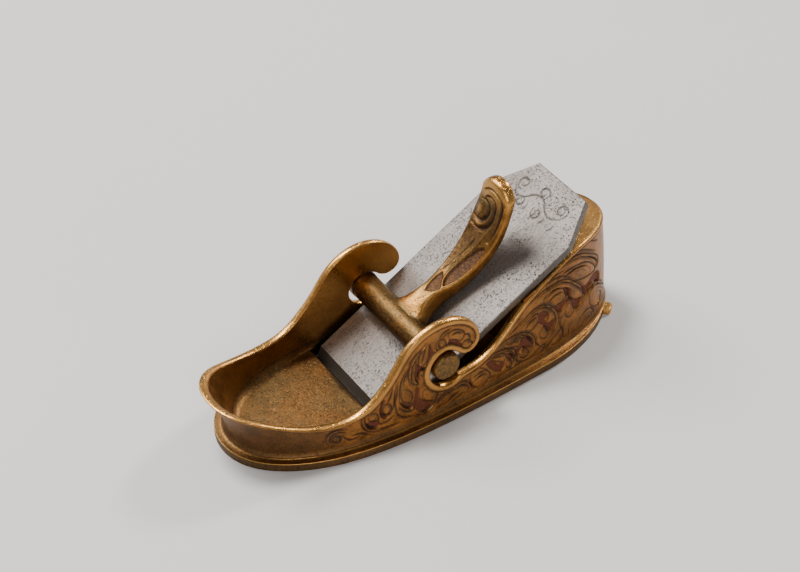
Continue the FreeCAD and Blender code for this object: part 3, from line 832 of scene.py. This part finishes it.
def wall_side(build, wall, stations, foot_z, step_fine, step_coarse, relief=None):
    """One wall face as triangles.

    Returns the point numbers of its top and foot rows, and the foot's outline parameters.
    """
    t_table, a_table = arc_table(wall, 8.0)
    top_t, top_z = edge_on_wall(wall, stations, RIM_RADIUS)
    top = np.stack([np.interp(top_t, t_table, a_table), top_z], 1)
    length = a_table[-1]
    foot_a = np.unique(np.concatenate([
        np.arange(0, FINE_FROM, step_coarse),
        np.arange(FINE_FROM, length, max(step_fine, 0.3)), [length]]))
    foot = np.stack([foot_a, np.full(len(foot_a), foot_z)], 1)

    def upright(a, height):
        n = max(2, int((height - foot_z) / step_coarse))
        return np.stack([np.full(n, a), np.linspace(foot_z, height, n + 2)[1:-1]], 1)

    heel, toe = upright(length, top[-1, 1]), upright(0.0, top[0, 1])[::-1]
    loop = np.concatenate([foot, heel, top[::-1], toe])
    inside = []
    for start, end, gap in ((FINE_FROM - 1, length, step_fine), (0, FINE_FROM - 1, step_coarse)):
        grid = hex_grid((start, foot_z), (end, TOP_Z), gap)
        inside.append(well_inside(loop, grid, 0.6 * gap))
    flat, tri, number = triangulate(loop, np.concatenate(inside))
    t = np.interp(flat[:, 0], a_table, t_table)
    t[np.abs(flat[:, 0]) < 1e-6] = 0.0
    t[np.abs(flat[:, 0] - length) < 1e-6] = 3.0
    z = flat[:, 1]
    points = wall.point(t, z)
    normal = wall.normal(t, z)
    recess, wear_and_highlight, soot_and_shade = (np.zeros(len(points)) for _ in range(3))
    if relief is not None:
        x = points[:, 0]
        d_edge = distance_to(top, flat) + RIM_RADIUS
        lift, wide = bead(x, d_edge)
        inside_bead = smoothstep(wide + 0.05, wide + 0.3, d_edge)
        field = inside_bead * smoothstep(foot_z, foot_z + 0.4, z) * smoothstep(-14.5, -11.5, x)
        cut, recess, soot_and_shade = (relief.sample(grid, x, z) * field
                             for grid in (relief.height, relief.recess, relief.soot_and_shade))
        soot_and_shade += 0.8 * np.exp(-((d_edge - wide - 0.1) / 0.14) ** 2) * smoothstep(-10, -5, x)
        points = points + normal * (lift + cut)[:, None]
        # worn metal and painted highlights: brighter on the bead and on the raised ridges of the
        # engraving
        wear_and_highlight = 0.3 * smoothstep(0.05, 0.3, lift / 0.2) * (1 - recess)
        wear_and_highlight += 0.45 * smoothstep(0.06, 0.12, cut) * field
        # painted shade: the outer face darkens towards the toe
        grime_and_shade = 0.3 * smoothstep(-7.0, -17.0, points[:, 0])
        soot_and_shade += 0.45 * smoothstep(-7.0, -15.0, points[:, 0])
    else:
        # painted light on the inner face: brighter all over and more so towards the top; darker
        # towards its foot
        grime_and_shade = 0.6 * smoothstep(8.0, 2.0, z)
        wear_and_highlight = 0.25 + 0.3 * smoothstep(8.0, 15.0, z)
    index = build.add(points, recess, wear_and_highlight, grime_and_shade, soot_and_shade)
    face = orient(tri if relief is not None else tri[:, ::-1], points, normal)
    build.faces += [tuple(f) for f in index[face].tolist()]
    loop_index = index[number]
    top_start = len(foot) + len(heel)
    top_row = loop_index[top_start:top_start + len(top)][::-1]
    return (top_row.tolist(), loop_index[:len(foot)].tolist(),
            np.interp(foot_a, a_table, t_table))


def orient(tri, points, outward):
    """Turns the triangles that face against the outward directions."""
    a, b, c = points[tri[:, 0]], points[tri[:, 1]], points[tri[:, 2]]
    facing = np.einsum("ij,ij->i", np.cross(b - a, c - a), outward[tri[:, 0]])
    tri = tri.copy()
    tri[facing < 0] = tri[facing < 0][:, ::-1]
    return tri


def edge_on_wall(wall, stations, inset):
    """(t, z) of the upper edge on a wall, moved into the metal by inset."""
    on = at_edge(stations, 0.0)
    moved = at_edge(stations, inset)
    t_on = wall.t_at(on[:, 0], on[:, 1])
    t_on[0], t_on[-1] = 0.0, 3.0
    t_moved = wall.t_at(moved[:, 0], moved[:, 1])
    steep = np.clip(smoothstep(-10.0, -16.0, on[:, 0])
                    + smoothstep(38.0, 42.0, on[:, 0]), 0, 1)
    t = t_on * steep + t_moved * (1 - steep)
    z = (on[:, 1] - inset) * steep + moved[:, 1] * (1 - steep)
    return t, z


def bead(x, depth):
    """Raised band along the upper edge of the outer face: its height and its width."""
    wide = 0.6 + 0.6 * smoothstep(-9.0, -3.0, x) - 0.45 * smoothstep(10.0, 18.0, x)
    tall = 0.12 + 0.1 * smoothstep(-9.0, -3.0, x) - 0.06 * smoothstep(16.0, 24.0, x)
    k = np.clip(depth / wide, 0, 1)
    crown = np.sqrt(np.clip(1 - (2 * k - 1) ** 2, 0, 1))
    groove = -0.09 * np.exp(-((depth - wide - 0.08) / 0.1) ** 2) * smoothstep(-12.0, -6.0, x)
    return tall * crown + groove, wide


def rim(build, s_out, s_in, top_row, inner_row):
    """The rounded upper edge that joins the outer face to the inner face."""
    rows = [top_row]
    bend = np.linspace(0, 1, 9) * math.pi
    x_on = at_edge(s_out, 0.0)[:, 0]
    heel = smoothstep(40.0, 45.0, x_on)
    for angle in bend[1:-1]:
        c = math.cos(angle)
        across = (1 - c) / 2
        # a round top, which flattens towards the heel
        up = (1 - abs(c) ** 2) ** 0.5 * (1 - heel) + (1 - abs(c) ** 7) ** (1 / 7) * heel
        inset = RIM_RADIUS * (1 - up)
        t_o, z_o = edge_on_wall(outer, s_out, inset)
        t_i, z_i = edge_on_wall(inner, s_in, inset)
        p_out, p_in = outer.point(t_o, z_o), inner.point(t_i, z_i)
        lift, _ = bead(p_out[:, 0], inset)
        p_out = p_out + outer.normal(t_o, z_o) * lift[:, None]
        row = p_out * (1 - across) + p_in * across
        # a bright line along the rounded top is worn metal and a painted highlight; darker towards
        # the heel and towards the inner face
        wear_and_highlight = (1 - 0.6 * heel) * math.sin(angle) ** 2 * (1 - 0.5 * across)
        rows.append(build.add(row, 0.0, wear_and_highlight, 0.6 * heel + 0.3 * across).tolist())
    rows.append(inner_row)
    build.faces += sheet(rows)


def flange(build, foot_row, foot_t):
    """Fillet, ledge, bead and side of the sole flange; returns its lowest row."""
    # share of the way from the wall to the flange's outline, z, and wear with painted highlight
    # lines on the fillet and the bead
    profile = [(0.03, 2.4, 0.0), (0.09, 2.12, 0.0), (0.18, 1.93, 0.0), (0.27, 1.83, 0.1),
               (0.33, 1.83, 0.45), (0.37, 1.76, 0.1), (0.5, 1.69, 0.0), (0.75, 1.63, 0.0),
               (0.93, 1.61, 0.0), (0.97, 1.6, 0.5), (0.993, 1.565, 0.8), (1.0, 1.5, 0.2),
               (1.0, 1.4, 0.0), (1.0, 0.75, 0.0), (0.995, 0.18, 0.0), (0.975, 0.0, 0.1)]
    rows = [foot_row]
    plan = spans(FLANGE, foot_t)
    for across, z, wear_and_highlight in profile:
        start = outer.point(foot_t, np.full(len(foot_t), max(z, FLANGE_Z)))
        row = np.column_stack([start[:, 0] + (plan[:, 0] - start[:, 0]) * across,
                               start[:, 1] + (-plan[:, 1] - start[:, 1]) * across,
                               np.full(len(foot_t), z)])
        # worn metal and painted highlight lines; painted shade darkens the toe; the flange's side
        # and the fillet by the wall are darker
        toe = smoothstep(-12.0, -20.0, row[:, 0])
        side = 0.3 if z < 1.45 else 0.0
        rows.append(build.add(row, 0.0, wear_and_highlight * (1 - 0.35 * toe), 0.35 + side + 0.3 * toe,
                              side + 0.25 * (across < 0.3)).tolist())
    build.faces += sheet(rows, flip=True)
    return rows[-1]


def flat_region(build, rim_points, centre_cut, z, step, up):
    """A flat half plate inside an outline, cut back from the centre line by the mouth."""
    def centre_line(x0, x1):
        x = np.arange(x0 + step, x1 - 0.5 * step, step)[::-1]
        return np.column_stack([x, 0 * x])

    loop = np.concatenate([rim_points[:, :2], centre_line(centre_cut[0][0], rim_points[-1, 0]),
                           centre_cut, centre_line(rim_points[0, 0], centre_cut[-1][0])])
    grid = hex_grid(loop.min(0), loop.max(0), step)
    flat, tri, _ = triangulate(loop, well_inside(loop, grid, 0.5 * step))
    points = np.column_stack([flat, np.full(len(flat), z)])
    numbers = build.add(points, 0.0, 0.0, 0.85 if up else 0.3)
    tri = orient(tri, points, np.tile([0.0, 0.0, 1.0 if up else -1.0], (len(points), 1)))
    build.faces += [tuple(f) for f in numbers[tri].tolist()]


def bed_z(x):
    """Height of the bed, a small gap below the cutter."""
    under = CUTTER_EDGE_Z - (CUTTER_THICK + BED_GAP) / math.cos(BED_ANGLE)
    return under + math.tan(BED_ANGLE) * x


def prism(build, outline, half):
    """A half bar across the casting: an x-z outline from the centre line out to half."""
    rows = [build.add([(x, y, z) for x, z in outline], 0, 0, 0.3).tolist() for y in (0.0, -half)]
    build.faces += strip(*rows, closed=True) + [tuple(rows[1][::-1])]


def slot_face(build, profile, soot_and_shade):
    """A face of the mouth's slot: an x-z line drawn out from the centre line."""
    # painted shade: the slot's faces are darkened
    n = build.add([(x, y, z) for x, z in profile for y in (0.0, -SLOT_HALF)], 0, 0, 0.9,
                  soot_and_shade).tolist()
    build.faces += [(n[k], n[k + 1], n[k + 3], n[k + 2]) for k in (0, 2)]


def make_body():
    relief = engrave()
    build = Builder()
    s_out, s_in = rim_rows(FINE)
    outer_top, outer_foot, foot_t = wall_side(build, outer, s_out, FOOT_Z, FINE, COARSE, relief)
    inner_top, inner_foot, inner_t = wall_side(build, inner, s_in, INNER_FOOT_Z, INNER_FINE,
                                               INNER_COARSE)
    rim(build, s_out, s_in, outer_top, inner_top)
    lowest = flange(build, outer_foot, foot_t)
    # floor fillet
    rows = [inner_foot]
    above_fillet = np.full(len(inner_t), 3.0)
    reach = 2.0 - 1.4 * smoothstep(-9.0, -4.0, inner.point(inner_t, above_fillet)[:, 0])
    n = inner.normal(inner_t, above_fillet)
    for turn in np.linspace(0, math.pi / 2, 7)[1:]:
        height = FLOOR_Z + (INNER_FOOT_Z - FLOOR_Z) * (1 - math.sin(turn))
        p = inner.point(inner_t, np.full(len(inner_t), height))
        p[:, :2] -= n[:, :2] * (reach * (1 - math.cos(turn)))[:, None]
        p[0, 1] = p[-1, 1] = 0.0
        rows.append(build.add(p, 0.0, 0.0, 0.7).tolist())
    build.faces += sheet(rows)
    # floor and sole, each with the mouth left out
    bed_foot = -bed_z(0) / math.tan(BED_ANGLE)
    for row, back, front, z, step in ((rows[-1], WEDGE_BACK, SLOT_TOP_X, FLOOR_Z, 0.8),
                                      (lowest, bed_foot, MOUTH_FRONT, 0.0, 1.6)):
        mouth = np.array([(back, 0.0), (back, -SLOT_HALF), (front, -SLOT_HALF), (front, 0.0)])
        flat_region(build, build.at(row), mouth, z, step, z > 0)
    # mouth's front wall and its end, then the bed wedge and the rib behind it
    slot = [(SLOT_TOP_X, FLOOR_Z), (-1.3, 1.0), (MOUTH_FRONT, 0.0)]
    bed = [(bed_foot, 0.0), (WEDGE_BACK, bed_z(WEDGE_BACK)), (WEDGE_BACK, FLOOR_Z)]
    # painted shade darkens the mouth's faces, its end and the bed wedge
    slot_face(build, slot, 0.9)
    end = build.add([(x, -SLOT_HALF, z) for x, z in slot + bed], 0, 0, 0.9, 0.9)
    build.faces.append(tuple(end.tolist()))
    slot_face(build, bed, 0.8)
    prism(build, [(RIB_FRONT, FLOOR_Z), (RIB_FRONT, bed_z(RIB_FRONT)),
                  (RIB_BACK, bed_z(RIB_BACK)), (RIB_BACK, FLOOR_Z)], RIB_HALF)
    body = build.finish("plane_body", CASTING, mirror=True)
    add_spur(body)
    weld(body)
    return body


def add_spur(obj):
    """The small cast spur low on the stern's near quarter: a rounded slab."""
    made = bmesh.new()
    made.from_mesh(obj.data)
    plan = np.array([(46.3, -6.2), (48.2, -8.2), (49.9, -6.9), (48.4, -4.6)])
    middle = plan.mean(axis=0)
    rings = []
    for z, shrink in ((0.02, 0.96), (0.15, 1.0), (0.85, 1.0), (1.05, 0.95), (1.1, 0.8)):
        ring = []
        for k, corner in enumerate(plan):
            for toward in (plan[k - 1], plan[(k + 1) % 4]):
                p = middle + (corner - middle) * shrink + (toward - corner) * 0.14
                ring.append(made.verts.new(((p[0] + MOUTH_X) * MM, p[1] * MM, z * MM)))
        rings.append(ring)
    for low, high in zip(rings, rings[1:]):
        for k in range(8):
            made.faces.new((low[k], low[(k + 1) % 8], high[(k + 1) % 8], high[k]))
    made.faces.new(rings[0][::-1])
    made.faces.new(rings[-1])
    # painted highlight: the whole spur is made brighter
    wear_and_highlight = made.verts.layers.float["wear_and_highlight"]
    for ring in rings:
        for vert in ring:
            vert[wear_and_highlight] = 0.6
    made.normal_update()
    made.to_mesh(obj.data)
    made.free()


def weld(obj):
    """Joins the points that lie on each other, and keeps edges sharper than 48 degrees."""
    made = bmesh.new()
    made.from_mesh(obj.data)
    bmesh.ops.remove_doubles(made, verts=made.verts, dist=2e-6)
    made.to_mesh(obj.data)
    made.free()
    obj.data.set_sharp_from_angle(angle=math.radians(48))
    obj.data.update()


body = make_body()
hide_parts("body_casting")
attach(body, "body")

# ---------------------------------------------------------------- lever cap
BAR_RADIUS, BAR_HALF = 2.6, 13.6
# Arm stations from the pivot: x and z of the middle, tangent angle, half width, thickness.
ARM = np.array([(1.0, 0.9, 30.0, 5.2, 3.4), (3.2, 1.95, 31.0, 3.0, 4.0),
                (5.95, 3.25, 29.0, 1.95, 4.2), (8.3, 4.35, 33.0, 2.3, 3.6),
                (11.45, 6.25, 42.0, 2.95, 3.0), (14.0, 8.6, 49.0, 3.4, 2.7),
                (16.3, 11.7, 59.0, 3.8, 2.4), (17.95, 15.2, 71.0, 3.9, 2.2),
                (19.1, 18.7, 82.0, 3.75, 2.8), (19.3, 20.6, 87.0, 3.05, 2.9),
                (19.35, 21.6, 88.0, 1.9, 2.3), (19.4, 22.0, 88.0, 0.7, 1.2)])
VOXEL = 0.115
CAP_LENGTH = 1.2                        # the rounded end of the arm


def arm_carving():
    """The carved face of the arm, over (distance along it, y)."""
    cut = Relief((-1.0, -5.0), (31.0, 5.0), 0.06)
    cut.region([(2.6, 0.0), (5.4, 1.4), (9.4, 2.2), (14.0, 2.9), (20.0, 3.4), (26.0, 3.0),
                (28.6, 1.6), (29.0, 0.0), (28.6, -1.6), (26.0, -3.0), (20.0, -3.3), (14.0, -2.8),
                (9.4, -1.9), (5.4, -1.2)], -0.12, 0.5)
    # stippled panels
    cut.region([(7.7, -1.5), (8.6, -0.6), (10.7, 0.0), (13.1, -0.2), (15.3, -0.9), (17.2, -1.9),
                (17.6, -2.6), (15.2, -2.9), (13.2, -2.7), (11.4, -2.4), (9.4, -2.0)],
               -0.42, 0.16, sunk=0.8)
    cut.region([(5.0, 0.2), (6.6, 0.9), (8.5, 1.3), (9.4, 1.2), (8.6, 0.1), (7.6, -0.9),
                (7.0, -1.5), (5.8, -1.0)], -0.36, 0.16, sunk=0.8)
    # valley behind the stem, on the far half
    cut.region([(9.8, 1.9), (12.4, 1.1), (15.4, 0.7), (18.4, 0.2), (19.6, 1.6), (18.6, 3.0),
                (15.0, 2.6), (12.0, 2.2)], -0.22, 0.4, sunk=0.3)
    # volute: eye, two winding grooves, and the stem running down to a point
    stem = [(25.1, 2.0), (26.0, 1.6), (26.9, 0.6), (26.9, -0.6), (26.0, -1.6), (24.4, -2.0),
            (21.1, -1.8), (18.3, -1.1), (14.8, -0.3), (10.8, 0.2), (8.6, -0.4), (7.5, -1.3)]
    cut.stroke(stem, 0.75, 0.16)
    cut.stroke([(27.0, 2.2), (27.9, 0.8), (27.9, -0.8), (27.2, -2.0), (26.0, -2.6), (24.2, -2.8),
                (21.4, -2.8), (18.9, -2.5)], 0.66, -0.5, 1.0)
    cut.stroke([(20.0, 2.9), (19.8, 0.8), (21.4, -1.0), (24.2, -1.3), (25.8, -0.8), (26.2, 0.3),
                (25.9, 1.2)], 0.75, -0.5, 1.0)
    cut.stroke([(20.9, 3.0), (20.4, 1.9), (20.8, 0.3), (22.3, -0.6), (24.3, -0.5), (25.3, 0.1),
                (25.4, 0.9)], 0.5, 0.12)
    cut.stroke([(21.4, 3.1), (21.3, 1.1), (22.9, 0.1), (24.4, 0.4), (25.0, 1.3), (24.9, 2.4)],
               0.8, -0.5, 1.0)
    eye = [(23.1 + 1.25 * math.cos(a), 2.15 + 0.95 * math.sin(a))
           for a in np.linspace(0, 2 * math.pi, 10)[:-1]]
    cut.region(eye, 0.05, 0.15, dome=0.22)
    for k in range(3):
        cut.stroke([(10.6 + k, 1.0 + 0.2 * k), (14.0 + k, 0.9 - 0.1 * k), (17.2 + 0.6 * k, 0.3)],
                   0.25, -0.1, 0.4)
    return cut


def arm_frame(along):
    """Middle, tilt, half width and thickness of the arm at distances along it."""
    chord = np.concatenate([[0], np.cumsum(np.hypot(*np.diff(ARM[:, :2], axis=0).T))])
    fine = smooth_curve(np.column_stack([chord, ARM]), 0.1)
    return np.stack([np.interp(along, fine[:, 0], fine[:, 1 + k]) for k in range(5)], 1), chord[-1]


def lever_shell():
    """Arm and crossbar as closed overlapping shells, in millimetres from the pivot."""
    _, length = arm_frame(np.zeros(1))
    cap = CAP_LENGTH * (1 - np.sin(np.linspace(0.1, 1, 14) * math.pi / 2))
    along = np.concatenate([np.linspace(0, length - CAP_LENGTH, 150), length - cap])
    frames, _ = arm_frame(along)
    turn = np.linspace(0, 2 * math.pi, 72, endpoint=False)
    arm = []
    for v, (x, z, tilt, half, thick) in zip(along, frames):
        boxy = 2.3 + 2.1 * smoothstep(1.5, 6.0, v) - 1.7 * smoothstep(22.0, 28.5, v)
        across = np.sign(np.cos(turn)) * np.abs(np.cos(turn)) ** (2 / boxy)
        through = np.sign(np.sin(turn)) * np.abs(np.sin(turn)) ** (2 / boxy)
        nx, nz = -math.sin(math.radians(tilt)), math.cos(math.radians(tilt))
        arm.append(np.column_stack([x + nx * through * thick / 2, across * half,
                                    z + nz * through * thick / 2]))
    # crossbar: a slightly waisted round bar with domed ends
    y = BAR_HALF * np.sin(np.linspace(-math.pi / 2, math.pi / 2, 90))
    edge = np.clip((np.abs(y) - (BAR_HALF - 0.9)) / 0.9, 0, 1)
    radius = BAR_RADIUS * (1 - 0.03 * smoothstep(2, 8, np.abs(y)) * (np.abs(y) < 11.4))
    radius = radius * (0.86 + 0.14 * np.sqrt(1 - edge ** 2))
    angle = np.linspace(0, 2 * math.pi, 96, endpoint=False)
    bar = [np.column_stack([r * np.cos(angle), np.full(len(angle), at), r * np.sin(angle)])
           for at, r in zip(y, radius)]
    return np.concatenate(arm + bar), tube(arm) + tube(bar, len(arm) * len(turn))


def baked(obj):
    """The object's mesh with its modifiers applied; the object itself is removed."""
    depsgraph = bpy.context.evaluated_depsgraph_get()
    mesh = bpy.data.meshes.new_from_object(obj.evaluated_get(depsgraph))
    bpy.data.objects.remove(obj)
    return mesh


def lever_skin():
    """Arm and crossbar as one closed skin, with a fillet where the arm meets the bar."""
    points, faces = lever_shell()
    mesh = bpy.data.meshes.new("lever_shell")
    mesh.from_pydata(points.tolist(), [], faces)
    shell = link("lever_shell", mesh)
    remesh = shell.modifiers.new("one_skin", "REMESH")
    remesh.mode, remesh.voxel_size = "VOXEL", VOXEL
    soften = shell.modifiers.new("soften", "SMOOTH")
    soften.factor, soften.iterations = 0.5, 5
    melt = link("lever_skin", baked(shell))
    group = melt.vertex_groups.new(name="root")
    for vert in melt.data.vertices:
        x, y, z = vert.co
        off_bar = math.hypot(x, z) - BAR_RADIUS
        weight = (1 - min(abs(off_bar) / 1.6, 1)) * (1 - min(max(abs(y) - 5.5, 0) / 1.5, 1))
        if weight > 0 and x > 0.4:
            group.add([vert.index], weight, "REPLACE")
    fillet = melt.modifiers.new("fillet", "SMOOTH")
    fillet.vertex_group, fillet.factor, fillet.iterations = "root", 0.8, 60
    return baked(melt)


def vertex_values(mesh, key):
    """Three numbers for each vertex of a mesh, such as its place or its normal."""
    values = np.zeros(len(mesh.vertices) * 3)
    mesh.vertices.foreach_get(key, values)
    return values.reshape(-1, 3)


def make_lever():
    skin = lever_skin()
    co, normal = vertex_values(skin, "co"), vertex_values(skin, "normal")
    # the nearest station of the arm for every point
    _, length = arm_frame(np.zeros(1))
    along = np.linspace(0, length, 240)
    frames, _ = arm_frame(along)
    nearest = np.zeros(len(co), int)
    best = np.full(len(co), 1e9)
    for k, (x, z) in enumerate(frames[:, :2]):
        d = np.hypot(co[:, 0] - x, co[:, 2] - z)
        closer = d < best
        best[closer], nearest[closer] = d[closer], k
    v = along[nearest]
    tilt = np.radians(frames[nearest, 2])
    face = -normal[:, 0] * np.sin(tilt) + normal[:, 2] * np.cos(tilt)
    on_face = smoothstep(0.45, 0.85, face) * smoothstep(2.2, 4.4, v)
    cut = arm_carving()
    lift, recess, soot_and_shade = (cut.sample(grid, v, co[:, 1]) * on_face
                          for grid in (cut.height, cut.recess, cut.soot_and_shade))
    co = co + normal * lift[:, None]
    # worn metal and painted highlights: brighter on the root, the tip and the raised carving
    root = smoothstep(12.0, 3.0, v) * (co[:, 0] > 1.6)
    wear_and_highlight = 0.2 * root + 0.4 * smoothstep(24.0, 28.0, v) * (1 - recess) \
        + 0.3 * smoothstep(0.02, 0.12, lift)
    # painted shade darkens the crossbar; the carved face is dark olive except for its near edge
    bar = 1 - smoothstep(BAR_RADIUS, BAR_RADIUS + 1, np.hypot(co[:, 0], co[:, 2]))
    grime_and_shade = 0.9 * bar + 0.95 * on_face * smoothstep(-3.4, -2.2, co[:, 1]) * (1 - bar)
    wear_and_highlight = wear_and_highlight * (1 - bar)
    quads = [tuple(p.vertices) for p in skin.polygons]
    bpy.data.meshes.remove(skin)
    co = co + np.array([PIVOT_X, 0.0, PIVOT_Z])
    return make_object("lever_cap_arm", co, quads, LEVER_METAL,
                       {"recess": recess, "wear_and_highlight": np.clip(wear_and_highlight, 0, 1), "grime_and_shade": grime_and_shade,
                        "soot_and_shade": soot_and_shade})


lever = make_lever()
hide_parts("lever_cap")
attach(lever, "cap")

# ---------------------------------------------------------------- cutter
CUTTER_HALF, CUTTER_END_HALF = 11.0, 6.5
CUTTER_LENGTH, CUTTER_SHOULDER = 48.9, 41.1
CHAMFER = 0.1
FLOURISH_FROM = 31.0                    # no engraving nearer to the front edge


def blade_flourish():
    """A generic engraved flourish near the tail, over (distance up the cutter, y)."""
    cut = Relief((30.0, -CUTTER_HALF), (49.0, CUTTER_HALF), 0.05)
    line, deep, ink = 0.3, 0.08, 1.0
    cut.stroke([(43.4, 6.6), (42.4, 5.4), (42.6, 3.6), (44.2, 2.0), (44.4, 0.0), (43.2, -1.6),
                (42.6, -3.4), (43.4, -5.2), (44.6, -6.0)], line, -deep, ink)
    curls = [((44.6, 5.6), 1.3, 200, -1.3), ((45.4, 0.9), 1.2, 240, 1.2),
             ((41.8, -0.9), 1.2, 60, 1.2), ((44.9, -4.6), 1.3, 250, 1.3),
             ((41.6, 3.6), 1.0, 20, -1.1)]
    for curl in curls:
        cut.stroke(spiral(*curl), line, -deep, ink)
    for k in range(5):
        y = 4.6 - 2.4 * k
        cut.stroke([(40.6, y), (41.4, y - 0.5), (42.1, y - 0.3)], line * 0.8, -deep, ink)
    return cut


def make_cutter():
    cut = blade_flourish()
    slope = np.array([math.cos(BED_ANGLE), math.sin(BED_ANGLE)])
    drop = np.array([math.sin(BED_ANGLE), -math.cos(BED_ANGLE)])
    stations = np.unique(np.concatenate([
        [0.0, CHAMFER], np.linspace(0.6, 34, 70), np.linspace(34, CUTTER_LENGTH - CHAMFER, 116),
        [CUTTER_SHOULDER, CUTTER_LENGTH]]))
    share = np.linspace(-1, 1, 181)
    half = np.interp(stations, [0, CUTTER_SHOULDER, CUTTER_LENGTH],
                     [CUTTER_HALF, CUTTER_HALF, CUTTER_END_HALF])
    # where the front bevel meets the underside, just clear of the sole
    toe_edge = (CUTTER_THICK * slope[0] - CUTTER_EDGE_Z + 0.02) / slope[1]

    def place(s, y, down):
        s, y = np.asarray(s, float), np.asarray(y, float)
        return np.column_stack([s * slope[0] + down * drop[0], y,
                                CUTTER_EDGE_Z + s * slope[1] + down * drop[1]])

    build = Builder()
    rows = []
    for s, w in zip(stations, half):
        y = share * (w - CHAMFER)
        station = np.full(len(y), s)
        depth, mark = (cut.sample(grid, station, y) * (s > FLOURISH_FROM)
                       for grid in (cut.height, cut.soot_and_shade))
        down = CHAMFER * (s == stations[-1]) - depth
        row = np.concatenate([place([s], [-w], CHAMFER), place(station, y, down),
                              place([s], [w], CHAMFER)])
        rows.append(build.add(row, soot_and_shade=np.concatenate([[0], mark, [0]])).tolist())
    build.faces += [f[::-1] for f in sheet(rows)]
    # underside: same plan, one row of points down each long side
    under_s = stations.copy()
    under_s[0] = toe_edge
    sides = {}
    for side in (-1, 1):
        y = side * half
        # painted shade: the cutter's long sides are darkened
        low_edge = build.add(place(under_s, y, CUTTER_THICK - CHAMFER), grime_and_shade=0.8)
        base = build.add(place(under_s, y - side * CHAMFER, CUTTER_THICK), grime_and_shade=0.8)
        sides[side] = (low_edge.tolist(), base.tolist())
        lip = [row[-1] if side > 0 else row[0] for row in rows]
        top = build.add(build.at(lip), grime_and_shade=0.8).tolist()
        quads = sheet([top, *sides[side]])
        build.faces += quads if side > 0 else [q[::-1] for q in quads]
    build.faces += strip(sides[-1][1], sides[1][1])
    # bevel at the front, square end at the tail
    for k, flip in ((0, False), (-1, True)):
        ring = rows[k] + [sides[1][0][k], sides[1][1][k], sides[-1][1][k], sides[-1][0][k]]
        # painted shade: the front bevel and the tail end are darkened
        ring = build.add(build.at(ring), grime_and_shade=0.95).tolist()
        build.faces.append(tuple(ring if flip else ring[::-1]))
    return build.finish("cutter_blade", STEEL)


blade = make_cutter()
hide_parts("cutter")
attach(blade, "iron")

# ---------------------------------------------------------------- camera, light, floor
CAMERA_PLACE = Vector((-0.14228, -0.21152, 0.23169))
RIGHT = Vector((0.834747, -0.550634, 0.0))
UP = Vector((0.353949, 0.536559, 0.766045))


def make_camera():
    data = bpy.data.cameras.new("camera")
    data.lens, data.sensor_width = 90.0, 36.0
    camera = link("camera", data)
    turn = Matrix((RIGHT, UP, RIGHT.cross(UP))).transposed().to_4x4()
    camera.matrix_world = Matrix.Translation(CAMERA_PLACE) @ turn
    bpy.context.scene.camera = camera


def area_light(name, place, size, power, color):
    """A rectangular light that points at the middle of the plane."""
    data = bpy.data.lights.new(name, "AREA")
    data.shape = "RECTANGLE"
    data.size, data.size_y = size
    data.energy, data.color = power, color
    light = link(name, data)
    light.location = place
    toward = Vector((0, 0, 0.01)) - Vector(place)
    light.rotation_euler = toward.to_track_quat("-Z", "Y").to_euler()


def make_stage():
    half = 1.2
    mesh = bpy.data.meshes.new("floor")
    mesh.from_pydata([(-half, -half, 0), (half, -half, 0), (half, half, 0), (-half, half, 0)], [],
                     [(0, 1, 2, 3)])
    mesh.materials.append(plain_floor())
    ground = link("floor", mesh)
    world = bpy.data.worlds.new("studio")
    bpy.context.scene.world = world
    world.use_nodes = True
    sky = world.node_tree.nodes["Background"]
    sky.inputs["Color"].default_value = (0.95, 0.96, 1.0, 1)
    sky.inputs["Strength"].default_value = 0.3
    area_light("key", (-0.09, 0.21, 0.58), (0.16, 0.16), 4.2, (1.0, 0.97, 0.93))
    area_light("back", (-0.25, 0.5, 0.5), (0.4, 0.25), 3.0, (1.0, 0.98, 0.96))
    area_light("side", (0.6, 0.14, 0.45), (0.12, 0.12), 3.5, (1.0, 0.96, 0.9))
    area_light("fill", (-0.3, -0.55, 0.42), (0.3, 0.3), 2.2, (1.0, 0.98, 0.96))


make_camera()
make_stage()
